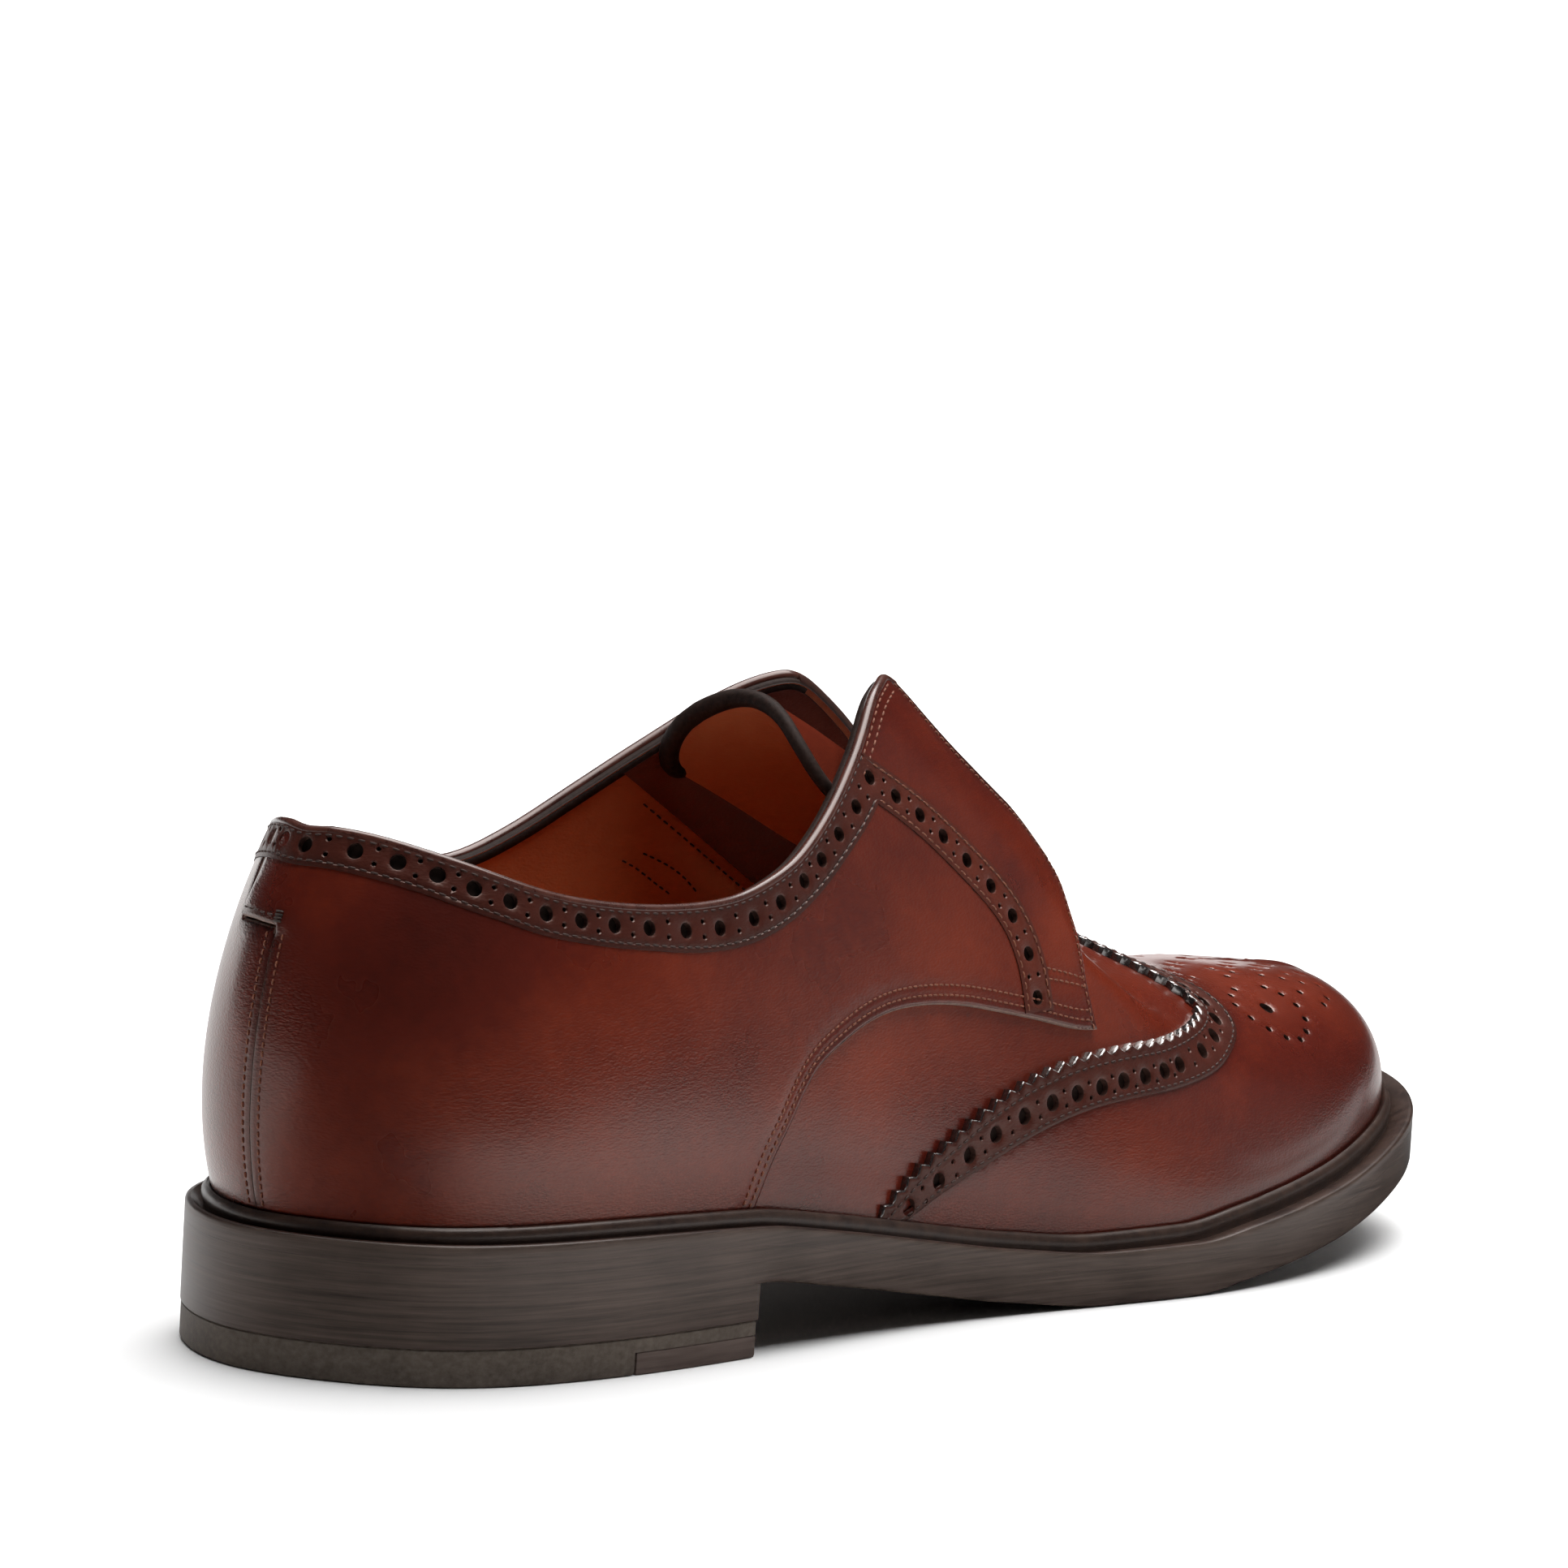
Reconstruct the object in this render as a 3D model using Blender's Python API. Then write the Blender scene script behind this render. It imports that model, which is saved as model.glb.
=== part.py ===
"""Derby shoe with a wing cap, right foot: sole, heel, welt, hollow upper, quarters, cap, strip and tongue."""
import bpy
import numpy as np
from mathutils import Vector
from mathutils.geometry import delaunay_2d_cdt

for old in list(bpy.data.objects):
    bpy.data.objects.remove(old, do_unlink=True)

# All sizes are millimetres until a mesh is made. x runs from the back of the heel to the toe,
# y is 0 on the back seam with the outer side of the foot at minus y, z is 0 on the floor.
MM = 0.001
ORIGIN_X = 42.0          # the part's own origin, on the floor under the heel
SOLE_LENGTH = 308.0
TOE_TIP_Y = 3.0
GAP = 0.3                # room left between pieces that touch
OUTSOLE_THICK = 6.6
OUTSOLE_CHAMFER = 0.6
WELT_THICK = 3.4
WELT_RIDGE = 2.7         # height of the raised inner bead of the welt
WELT_RIDGE_WIDE = 3.0
HEEL_BREAST_X = 85.0
HEEL_LIFT_THICK = 6.7
LIFT_INSERT_X = 55.0     # the lift's leather corner runs from here to the breast
LIFT_INSERT_THICK = 3.8
INSOLE_THICK = 3.6
UPPER_WALL = 1.8
QUARTER_LEATHER = (0.3, 1.5)
CAP_LEATHER = (0.3, 1.6)
STRIP_LEATHER = (1.8, 2.6)
STRIP_HALF = 4.0
TONGUE_THICK = 2.2
TONGUE_HALF = 19.2
TONGUE_ASIDE = -0.6      # its middle line stands this far to the outer side of the ridge

# plan of the sole edge: x, half width on the outer side, half width on the inner side
SOLE_PLAN = [
    (4.0, 14.8, 14.8),
    (18.0, 32.5, 30.5),
    (45.0, 42.0, 39.0),
    (80.0, 44.0, 38.5),
    (110.0, 43.2, 36.0),
    (140.0, 43.2, 36.0),
    (170.0, 46.5, 40.5),
    (200.0, 50.8, 47.0),
    (225.0, 51.0, 50.5),
    (250.0, 47.3, 48.5),
    (275.0, 38.6, 41.0),
    (295.0, 24.6, 28.0),
]

# x, height of the outsole's underside: heel seat, shank, flat tread, toe spring
SOLE_RISE = [
    (0.0, 14.7), (45.0, 14.5), (85.0, 13.2), (108.0, 10.0), (130.0, 6.2), (155.0, 2.2),
    (178.0, 0.0), (199.0, 0.0), (215.0, 1.9), (245.0, 6.2), (275.0, 12.2), (308.0, 18.0),
]

# x, how far the upper's lower edge stands in from the sole edge
FEATHER_IN = [(0.0, 8.0), (60.0, 7.0), (110.0, 6.5), (160.0, 7.0), (220.0, 8.5), (280.0, 9.0), (308.0, 9.0)]

# ridge line over the instep and toe: x, y, z
RIDGE = [
    (46.0, 0.0, 135.0), (80.0, -0.5, 133.5), (115.0, -1.0, 129.5), (145.0, -1.5, 119.0),
    (165.0, -1.5, 104.5), (185.0, -1.0, 86.5), (203.0, -0.3, 69.0), (220.0, 0.6, 58.5),
    (236.0, 1.5, 54.0), (250.0, 2.0, 52.8), (262.0, 2.5, 51.8),
]

# half sections of the upper: x, bulge past the lower edge, height of the bulge, shoulder, drop before the ridge,
# then the bulge and the shoulder of the inner side
SECTIONS = [
    (8.0, 13.0, 28.0, 1.02, 32.0, 13.0, 1.02),
    (40.0, 9.3, 26.0, 0.94, 38.0, 10.5, 0.97),
    (80.0, 7.0, 25.0, 0.88, 30.0, 9.5, 0.95),
    (120.0, 5.2, 24.0, 0.83, 20.0, 8.5, 0.93),
    (150.0, 4.2, 23.0, 0.78, 9.0, 7.0, 0.87),
    (180.0, 3.8, 21.5, 0.73, 0.0, 5.0, 0.78),
    (210.0, 4.0, 19.7, 0.70, 0.0, 4.2, 0.71),
    (240.0, 4.8, 19.0, 0.68, 0.0, 4.8, 0.68),
    (270.0, 6.0, 19.3, 0.70, 0.0, 6.0, 0.70),
    (299.0, 6.5, 19.3, 0.72, 0.0, 6.5, 0.72),
]

# Lines on the upper: u runs 0 at the back seam to 1 at the toe tip, t runs 0 at the sole to 1 on the ridge.
TOPLINE_BACK = [(0.0, 0.624), (0.04, 0.623), (0.08, 0.609), (0.12, 0.592), (0.16, 0.572), (0.205, 0.552)]
TOPLINE_OUTER = [
    (0.25, 0.537), (0.273, 0.534), (0.296, 0.538), (0.32, 0.554), (0.342, 0.578), (0.362, 0.613), (0.379, 0.65),
    (0.397, 0.697), (0.415, 0.75), (0.428, 0.793), (0.442, 0.836), (0.456, 0.874),
]
TOPLINE_INNER = [
    (0.25, 0.535), (0.278, 0.534), (0.302, 0.554), (0.32, 0.579), (0.338, 0.611), (0.355, 0.643), (0.373, 0.678),
    (0.39, 0.713), (0.406, 0.75), (0.423, 0.789), (0.438, 0.822), (0.451, 0.848),
]
FACING_OUTER = [
    (0.469, 0.897), (0.483, 0.863), (0.502, 0.818), (0.524, 0.787), (0.548, 0.766), (0.570, 0.754), (0.582, 0.735),
]
FACING_INNER = [
    (0.464, 0.864), (0.48, 0.86), (0.50, 0.852), (0.52, 0.842), (0.54, 0.826), (0.562, 0.79), (0.582, 0.735),
]
FACING_FOOT = [(0.580, 0.68), (0.577, 0.624), (0.576, 0.578), (0.573, 0.52), (0.572, 0.476), (0.573, 0.432)]
QUARTER_FOOT = [
    (0.547, 0.421), (0.523, 0.419), (0.499, 0.419), (0.463, 0.409), (0.439, 0.399), (0.413, 0.384), (0.388, 0.359),
    (0.368, 0.334), (0.352, 0.304), (0.337, 0.249), (0.322, 0.19), (0.312, 0.15),
]
THROAT = [(0.60, 0.782), (0.625, 0.845), (0.65, 0.915), (0.669, 1.0)]
CAP_EDGE = [
    (0.427, 0.145), (0.449, 0.189), (0.484, 0.265), (0.521, 0.324), (0.559, 0.369), (0.602, 0.421),
    (0.638, 0.477), (0.679, 0.549), (0.705, 0.608), (0.717, 0.652), (0.722, 0.72), (0.722, 0.78), (0.717, 0.85),
    (0.708, 0.93), (0.698, 1.0),
]
STRIP_BACK = [
    (0.0, 0.596), (0.04, 0.594), (0.066, 0.588), (0.09, 0.579), (0.113, 0.568), (0.136, 0.557), (0.159, 0.544),
    (0.182, 0.534), (0.204, 0.524), (0.228, 0.514), (0.254, 0.503),
]
STRIP_OUTER = [
    (0.279, 0.499), (0.305, 0.506), (0.327, 0.524), (0.347, 0.551), (0.363, 0.578), (0.38, 0.611), (0.398, 0.646),
    (0.415, 0.670), (0.433, 0.666), (0.45, 0.648),
]
STRIP_INNER = [
    (0.279, 0.500), (0.305, 0.517), (0.327, 0.549), (0.347, 0.586), (0.363, 0.617), (0.38, 0.651), (0.398, 0.682),
    (0.415, 0.695), (0.433, 0.682), (0.45, 0.655),
]
STRIP_FACING = [
    (0.467, 0.627), (0.483, 0.605), (0.5, 0.583), (0.515, 0.549), (0.523, 0.502), (0.525, 0.443),
]
QUARTER_END = 0.304      # u where the quarter's lower corner meets the welt
CAP_END = 0.396          # u where the cap's rear corner meets the welt
TAB_REACH = 0.034        # how far the outer quarter's tab passes the back seam
TAB_FOOT = 0.487

# middle line of the tongue: x, z of its outer face, fall of its sides
TONGUE_LINE = [
    (206.0, 63.7, 8.0), (196.0, 70.2, 9.0), (186.0, 76.3, 10.0), (176.0, 81.8, 10.5), (166.0, 86.9, 11.0),
    (156.0, 92.0, 11.5), (146.0, 97.3, 12.0), (133.0, 104.3, 13.0), (120.0, 110.5, 13.5),
]

# stations shared by every piece, so that neighbours are faceted alike
STATION_COUNT = 32
_s = np.linspace(0.0, 1.0, STATION_COUNT + 1)
STATIONS = _s - 0.45 * np.sin(2 * np.pi * _s) / (2 * np.pi)
LEVELS = np.array([0.0, 0.045, 0.16, 0.23, 0.31, 0.39, 0.48, 0.57, 0.66, 0.75, 0.84, 0.92, 1.0])
U_SCALE = 370.0
T_SCALE = 115.0


def smooth(table, column):
    """Natural cubic curve through one column of a table."""
    xs = np.array([row[0] for row in table])
    ys = np.array([row[column] for row in table])
    count = len(xs)
    h = np.diff(xs)
    a = np.eye(count)
    b = np.zeros(count)
    for i in range(1, count - 1):
        a[i, i - 1:i + 2] = h[i - 1], 2 * (h[i - 1] + h[i]), h[i]
        b[i] = 6 * ((ys[i + 1] - ys[i]) / h[i] - (ys[i] - ys[i - 1]) / h[i - 1])
    m = np.linalg.solve(a, b)

    def value(x):
        x = np.clip(np.asarray(x, float), xs[0], xs[-1])
        i = np.clip(np.searchsorted(xs, x) - 1, 0, count - 2)
        w = xs[i + 1] - xs[i]
        p = (xs[i + 1] - x) / w
        q = 1 - p
        bend = (p ** 3 - p) * m[i] + (q ** 3 - q) * m[i + 1]
        return p * ys[i] + q * ys[i + 1] + bend * w * w / 6
    return value


def level(table, column):
    """Curve through one column of a table that never passes its own rows."""
    xs = np.array([row[0] for row in table])
    ys = np.array([row[column] for row in table])
    h = np.diff(xs)
    d = np.diff(ys) / h
    s = np.zeros(len(xs))
    s[0] = d[0]
    s[-1] = d[-1]
    for i in range(1, len(xs) - 1):
        if d[i - 1] * d[i] > 0:
            w1 = 2 * h[i] + h[i - 1]
            w2 = h[i] + 2 * h[i - 1]
            s[i] = (w1 + w2) / (w1 / d[i - 1] + w2 / d[i])

    def value(x):
        x = np.clip(np.asarray(x, float), xs[0], xs[-1])
        i = np.clip(np.searchsorted(xs, x) - 1, 0, len(xs) - 2)
        t = (x - xs[i]) / h[i]
        rise = ys[i] * (1 + 2 * t) * (1 - t) ** 2 + s[i] * h[i] * t * (1 - t) ** 2
        return rise + ys[i + 1] * t * t * (3 - 2 * t) + s[i + 1] * h[i] * t * t * (t - 1)
    return value


def closed_curve(points):
    """Closed cubic curve through plan points, by distance along it."""
    pts = np.array(points, float)
    count = len(pts)
    h = np.linalg.norm(np.roll(pts, -1, 0) - pts, axis=1)
    start = np.r_[0, np.cumsum(h)]
    a = np.zeros((count, count))
    b = np.zeros((count, 2))
    for i in range(count):
        j = (i - 1) % count
        k = (i + 1) % count
        a[i, j] += h[j]
        a[i, i] += 2 * (h[j] + h[i])
        a[i, k] += h[i]
        b[i] = 6 * ((pts[k] - pts[i]) / h[i] - (pts[i] - pts[j]) / h[j])
    m = np.linalg.solve(a, b)

    def value(s):
        s = np.asarray(s, float) % start[-1]
        i = np.clip(np.searchsorted(start, s, side="right") - 1, 0, count - 1)
        k = (i + 1) % count
        w = h[i][..., None]
        p = (start[i + 1] - s)[..., None] / w
        q = 1 - p
        bend = (p ** 3 - p) * m[i] + (q ** 3 - q) * m[k]
        return p * pts[i] + q * pts[k] + bend * w * w / 6
    return value, start


plan_loop = [(0.0, 0.0)]
plan_loop += [(x, -outer) for x, outer, inner in SOLE_PLAN]
plan_loop += [(SOLE_LENGTH, TOE_TIP_Y)]
plan_loop += [(x, inner) for x, outer, inner in reversed(SOLE_PLAN)]
plan_curve, plan_start = closed_curve(plan_loop)
TOE_AT = plan_start[len(SOLE_PLAN) + 1]


def side_lengths(last):
    s = np.linspace(last, TOE_AT, 3000)
    p = plan_curve(s)
    arc = np.r_[0, np.cumsum(np.linalg.norm(np.diff(p, axis=0), axis=1))]
    return s, arc / arc[-1]


OUTER_SIDE = side_lengths(0.0)
INNER_SIDE = side_lengths(plan_start[-1])
sole_rise = level(SOLE_RISE, 1)
feather_in = smooth(FEATHER_IN, 1)
ridge_y = smooth(RIDGE, 1)
ridge_z = smooth(RIDGE, 2)
bulge_out = {-1: smooth(SECTIONS, 1), 1: smooth(SECTIONS, 5)}
bulge_high = smooth(SECTIONS, 2)
shoulder_part = {-1: smooth(SECTIONS, 3), 1: smooth(SECTIONS, 6)}
ridge_drop = level(SECTIONS, 4)


def edge(side, u, inset=0.0):
    """Plan point of the sole edge moved in; side is -1 outer or +1 inner."""
    s, arc = OUTER_SIDE if side < 0 else INNER_SIDE
    k = np.interp(u, arc, s)
    p = plan_curve(k)
    d = plan_curve(k + 0.05) - plan_curve(k - 0.05)
    n = np.stack([-d[..., 1], d[..., 0]], -1)
    n /= np.linalg.norm(n, axis=-1, keepdims=True)
    return p + n * np.asarray(inset)[..., None]


def sole_top(x):
    return sole_rise(x) + OUTSOLE_THICK


def feather(side, u):
    return edge(side, u, feather_in(edge(side, u)[..., 0]))


BACK_X = float(feather(-1, np.array(0.0))[0])
FRONT_X = float(feather(-1, np.array(1.0))[0])


def upper_face(side, u, t):
    """Outer face of the upper's wall."""
    u, t = np.broadcast_arrays(np.asarray(u, float), np.asarray(t, float))
    f = feather(side, u)
    x = f[..., 0]
    z0 = sole_top(x) + GAP
    first = RIDGE[0][0]
    last = RIDGE[-1][0]
    rx = first + (last - first) * (x - BACK_X) / (FRONT_X - BACK_X)
    rz = ridge_z(rx)
    slope = ridge_z(rx + 0.5) - ridge_z(rx - 0.5)
    dx = rx - x
    dy = ridge_y(rx) - f[..., 1]
    r = np.hypot(dx, dy)
    ex = dx / r
    ey = dy / r
    shoulder = shoulder_part[side](x) * r
    b0 = (1 - t) ** 3
    b1 = 3 * (1 - t) ** 2 * t
    b2 = 3 * (1 - t) * t * t
    b3 = t ** 3
    along = -b1 * bulge_out[side](x) + b2 * (r - shoulder) + b3 * r
    up = b0 * z0 + b1 * (z0 + bulge_high(x)) + b2 * (rz - ridge_drop(x) - slope * ex * shoulder) + b3 * rz
    return np.stack([x + ex * along, f[..., 1] + ey * along, up], -1)


def upper_normal(side, u, t):
    e = 0.001
    u, t = np.broadcast_arrays(np.asarray(u, float), np.asarray(t, float))
    a = upper_face(side, np.clip(u + e, 0, 1), t) - upper_face(side, np.clip(u - e, 0, 1), t)
    b = upper_face(side, u, np.minimum(t + e, 1)) - upper_face(side, u, np.maximum(t - e, 0))
    n = np.cross(a, b) * -side
    return n / np.linalg.norm(n, axis=-1, keepdims=True)


def ridge_normals(u):
    x = feather(-1, u)[..., 0]
    rx = RIDGE[0][0] + (RIDGE[-1][0] - RIDGE[0][0]) * (x - BACK_X) / (FRONT_X - BACK_X)
    slope = ridge_z(rx + 0.5) - ridge_z(rx - 0.5)
    n = np.stack([-slope, np.zeros(len(u)), np.ones(len(u))], -1)
    return n / np.linalg.norm(n, axis=-1, keepdims=True)


def middle_normals(outer, inner, flags):
    """One normal for places that both sides share."""
    both = outer + inner
    both /= np.linalg.norm(both, axis=-1, keepdims=True)
    outer[flags] = both[flags]
    inner[flags] = both[flags]


grid_u, grid_t = np.meshgrid(STATIONS, LEVELS, indexing="ij")
FACE = {side: upper_face(side, grid_u, grid_t) for side in (-1, 1)}
NORMAL = {side: upper_normal(side, grid_u, grid_t) for side in (-1, 1)}
for side in (-1, 1):
    NORMAL[side][:, -1] = ridge_normals(STATIONS)
shared = (grid_u < 1e-9) | (grid_u > 1 - 1e-9)
middle_normals(NORMAL[-1], NORMAL[1], shared)


def on_facets(side, u, t, out):
    """Point on the faceted face of the upper, raised along its normal."""
    k = int(np.clip(np.searchsorted(STATIONS, u, side="right") - 1, 0, len(STATIONS) - 2))
    j = int(np.clip(np.searchsorted(LEVELS, t, side="right") - 1, 0, len(LEVELS) - 2))
    a = (u - STATIONS[k]) / (STATIONS[k + 1] - STATIONS[k])
    b = (t - LEVELS[j]) / (LEVELS[j + 1] - LEVELS[j])
    raised = FACE[side] + NORMAL[side] * out
    p00 = raised[k, j]
    p11 = raised[k + 1, j + 1]
    if b <= a:
        p10 = raised[k + 1, j]
        return p00 + a * (p10 - p00) + b * (p11 - p10)
    p01 = raised[k, j + 1]
    return p00 + b * (p01 - p00) + a * (p11 - p01)


def foot_line(side, first, last):
    """Line on the upper just above the welt's bead, between two places along it."""
    stops = [first] + [u for u in STATIONS if first + 0.004 < u < last - 0.004] + [last]
    fine = np.linspace(0.0, 0.3, 121)
    line = []
    for u in stops:
        z = upper_face(side, u, fine)[:, 2]
        line.append((u, float(np.interp(z[0] + WELT_THICK + WELT_RIDGE + 0.5, z, fine))))
    return line


def finish_mesh(name, verts, faces, material):
    mesh = bpy.data.meshes.new(name)
    placed = [((v[0] - ORIGIN_X) * MM, v[1] * MM, v[2] * MM) for v in verts]
    mesh.from_pydata(placed, [], faces)
    mesh.materials.append(material)
    mesh.update()
    obj = bpy.data.objects.new(name, mesh)
    bpy.context.scene.collection.objects.link(obj)
    return obj


def make_material(name, colour, roughness):
    material = bpy.data.materials.new(name)
    material.use_nodes = True
    shader = material.node_tree.nodes["Principled BSDF"]
    shader.inputs["Base Color"].default_value = (*colour, 1.0)
    shader.inputs["Roughness"].default_value = roughness
    return material


def inside(polygon, point):
    """Whether a chart point lies inside a closed outline."""
    x, y = point
    found = False
    for i in range(len(polygon)):
        x1, y1 = polygon[i - 1]
        x2, y2 = polygon[i]
        if (y1 > y) != (y2 > y) and x < x1 + (y - y1) / (y2 - y1) * (x2 - x1):
            found = not found
    return found


def over_ridge(p):
    """Front chart: the ridge is its middle line, the outer side is at minus."""
    side = -1 if p[1] < 0 else 1
    return side, p[0] / U_SCALE, 1 - abs(p[1]) / T_SCALE


def round_heel(p):
    """Rear chart: the back seam is its middle line, the inner side is at minus."""
    side = -1 if p[0] >= 0 else 1
    return side, abs(p[0]) / U_SCALE, p[1] / T_SCALE


def grid_lines(chart):
    """Corners and edges of the facets as laid out in a chart."""
    if chart is over_ridge:
        across = [T_SCALE * (t - 1) for t in LEVELS]
        down = [T_SCALE * (1 - t) for t in LEVELS]
        layers = [[(U_SCALE * u, v) for v in row] for row in (across, down) for u in STATIONS]
    else:
        layers = [[(sign * U_SCALE * u, T_SCALE * t) for t in LEVELS] for sign in (1, -1) for u in STATIONS]
    points = []
    edges = []
    rows = len(LEVELS)
    half = len(STATIONS)
    for number, layer in enumerate(layers):
        base = len(points)
        points += layer
        edges += [(base + j, base + j + 1) for j in range(rows - 1)]
        if number % half < half - 1:
            edges += [(base + j, base + rows + j) for j in range(rows)]
            edges += [(base + j, base + rows + j + 1) for j in range(rows - 1)]
    return points, edges


def cut_chart(outline, chart):
    """Triangles of the facets inside an outline, with very short edges closed up."""
    points, edges = grid_lines(chart)
    base = len(points)
    count = len(outline)
    points = [Vector(p) for p in points + list(outline)]
    edges = edges + [(base + i, base + (i + 1) % count) for i in range(count)]
    verts, _, faces, _, _, _ = delaunay_2d_cdt(points, edges, [], 0, 0.001)
    verts = [tuple(v) for v in verts]
    kept = []
    for face in faces:
        middle = np.mean([verts[i] for i in face], axis=0)
        if inside(outline, middle):
            kept.append(list(face))
    return verts, close_short(verts, kept, 1.1)


def edge_faces(faces):
    found = {}
    for face in faces:
        for i in range(3):
            a = face[i - 1]
            b = face[i]
            found.setdefault((min(a, b), max(a, b)), []).append((a, b))
    return found


def close_short(verts, faces, limit):
    """Draws corners nearer than the limit together, the rim's own corners staying put."""
    while True:
        pairs = edge_faces(faces)
        rim = {i for key, uses in pairs.items() if len(uses) == 1 for i in key}
        swap = None
        for a, b in pairs:
            if np.hypot(verts[a][0] - verts[b][0], verts[a][1] - verts[b][1]) > limit:
                continue
            if a in rim and b in rim and len(pairs[(a, b)]) > 1:
                continue
            swap = (b, a) if a in rim else (a, b)
            break
        if swap is None:
            return faces
        gone, stays = swap
        faces = [[stays if i == gone else i for i in face] for face in faces]
        faces = [face for face in faces if len(set(face)) == 3]


def panel(name, outline, chart, low, high, material):
    """Closed sheet of leather lying on the upper between two heights above its face."""
    verts, faces = cut_chart(outline, chart)
    places = {}
    index = {}
    bottom = []
    top = []
    for i in sorted({i for face in faces for i in face}):
        side, u, t = chart(verts[i])
        u = min(max(u, 0.0), 1.0)
        t = min(max(t, 0.0), 1.0)
        at = on_facets(side, u, t, 0.0)
        key = tuple(np.round(at, 3) + 0.0)
        if t > 0.9999:
            key = ("ridge", round(at[0] * 1.2))
        if key not in places:
            places[key] = len(top)
            top.append(on_facets(side, u, t, high))
            bottom.append(on_facets(side, u, t, low))
        index[i] = places[key]
    faces = [[index[i] for i in face] for face in faces]
    faces = [face for face in faces if len(set(face)) == 3]
    count = len(top)
    solid = [tuple(face) for face in faces]
    solid += [tuple(count + i for i in reversed(face)) for face in faces]
    for key, uses in edge_faces(faces).items():
        if len(uses) == 1:
            a, b = uses[0]
            solid.append((b, a, count + a, count + b))
    return finish_mesh(name, top + bottom, solid, material)


def loop(outer, inner):
    """Closed loop of points: heel back, outer side, toe tip, inner side."""
    return list(outer) + list(inner[-2:0:-1])


def ring(inset, height):
    """Loop at an inset from the sole edge; both may be functions of x."""
    sides = []
    for side in (-1, 1):
        x = edge(side, STATIONS)[:, 0]
        move = inset(x) if callable(inset) else np.full(len(x), inset)
        p = edge(side, STATIONS, move)
        sides.append(np.c_[p, height(p[:, 0])])
    return loop(*sides)


def slab(name, rings, material):
    """Solid through loops from bottom to top, closed by strips from side to side."""
    size = len(rings[0])
    half = size // 2
    verts = [v for one in rings for v in one]
    faces = []
    for r in range(len(rings) - 1):
        for i in range(size):
            k = (i + 1) % size
            faces.append((r * size + i, r * size + k, (r + 1) * size + k, (r + 1) * size + i))
    for base, up in ((0, False), ((len(rings) - 1) * size, True)):
        for k in range(half):
            a = base + k
            b = base + k + 1
            c = base + (size - k - 1) % size
            d = base + (size - k) % size
            face = [a, b, c, d]
            face = list(dict.fromkeys(face))
            faces.append(tuple(face) if up else tuple(reversed(face)))
    return finish_mesh(name, verts, faces, material)


def tube(name, rings, material):
    """Ring-shaped solid: loops joined round a closed section."""
    size = len(rings[0])
    count = len(rings)
    verts = [v for one in rings for v in one]
    faces = []
    for r in range(count):
        n = (r + 1) % count
        for i in range(size):
            k = (i + 1) % size
            faces.append((r * size + i, r * size + k, n * size + k, n * size + i))
    return finish_mesh(name, verts, faces, material)


def block(name, lines, material):
    """Solid through lines across the heel; each line has its outer and inner plan point and its levels."""
    verts = []
    faces = []
    rows = len(lines[0][2])
    for outer, inner, heights, _ in lines:
        verts += [(outer[0], outer[1], z) for z in heights]
        verts += [(inner[0], inner[1], z) for z in heights]
    width = 2 * rows
    last = len(lines) - 1
    for k in range(last):
        low = lines[k][3]
        a = k * width
        b = a + width
        for j in range(low, rows - 1):
            faces.append((a + j, b + j, b + j + 1, a + j + 1))
            faces.append((a + rows + j + 1, b + rows + j + 1, b + rows + j, a + rows + j))
        faces.append((a + rows - 1, b + rows - 1, b + width - 1, a + width - 1))
        faces.append((a + rows + low, b + rows + low, b + low, a + low))
        if k > 0 and low > lines[k - 1][3]:
            for j in range(lines[k - 1][3], low):
                faces.append((a + j, a + rows + j, a + rows + j + 1, a + j + 1))
    for j in range(lines[0][3], rows - 1):
        faces.append((j, j + 1, rows + j + 1, rows + j))
    end = last * width
    for j in range(lines[last - 1][3], rows - 1):
        faces.append((end + j, end + rows + j, end + rows + j + 1, end + j + 1))
    used = sorted({i for face in faces for i in face})
    index = {old: new for new, old in enumerate(used)}
    faces = [tuple(index[i] for i in face) for face in faces]
    return finish_mesh(name, [verts[i] for i in used], faces, material)


def across_heel(first_x, last_x, inset):
    """Plan points of lines across the heel at the shared stations between two places along it."""
    fine = np.linspace(0.0, 0.6, 2400)
    places = {side: edge(side, fine, inset) for side in (-1, 1)}
    stops = [x for x in edge(-1, STATIONS, inset)[:, 0] if first_x + 1.5 < x < last_x - 3]
    lines = []
    for x in [first_x] + stops + [last_x]:
        pair = []
        for side in (-1, 1):
            u = np.interp(x, places[side][:, 0], fine)
            pair.append(edge(side, np.array(u), inset))
        lines.append(pair)
    return lines


sole_leather = make_material("sole_leather", (0.060, 0.044, 0.036), 0.55)
welt_leather = make_material("welt_leather", (0.036, 0.022, 0.018), 0.45)
heel_leather = make_material("heel_leather", (0.062, 0.046, 0.038), 0.55)
heel_rubber = make_material("heel_rubber", (0.036, 0.030, 0.024), 0.75)
insole_leather = make_material("insole_leather", (0.30, 0.14, 0.055), 0.6)
lining_leather = make_material("lining_leather", (0.11, 0.018, 0.010), 0.4)
calf_leather = make_material("calf_leather", (0.11, 0.016, 0.009), 0.35)
strip_leather = make_material("strip_leather", (0.05, 0.014, 0.012), 0.4)
tongue_leather = make_material("tongue_leather", (0.05, 0.014, 0.010), 0.45)

# sole and insole
outsole_rings = [
    ring(OUTSOLE_CHAMFER, sole_rise),
    ring(0.0, lambda x: sole_rise(x) + OUTSOLE_CHAMFER),
    ring(0.0, sole_top),
]
slab("outsole", outsole_rings, sole_leather)


def insole_in(x):
    return feather_in(x) + UPPER_WALL + 0.7


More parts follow.
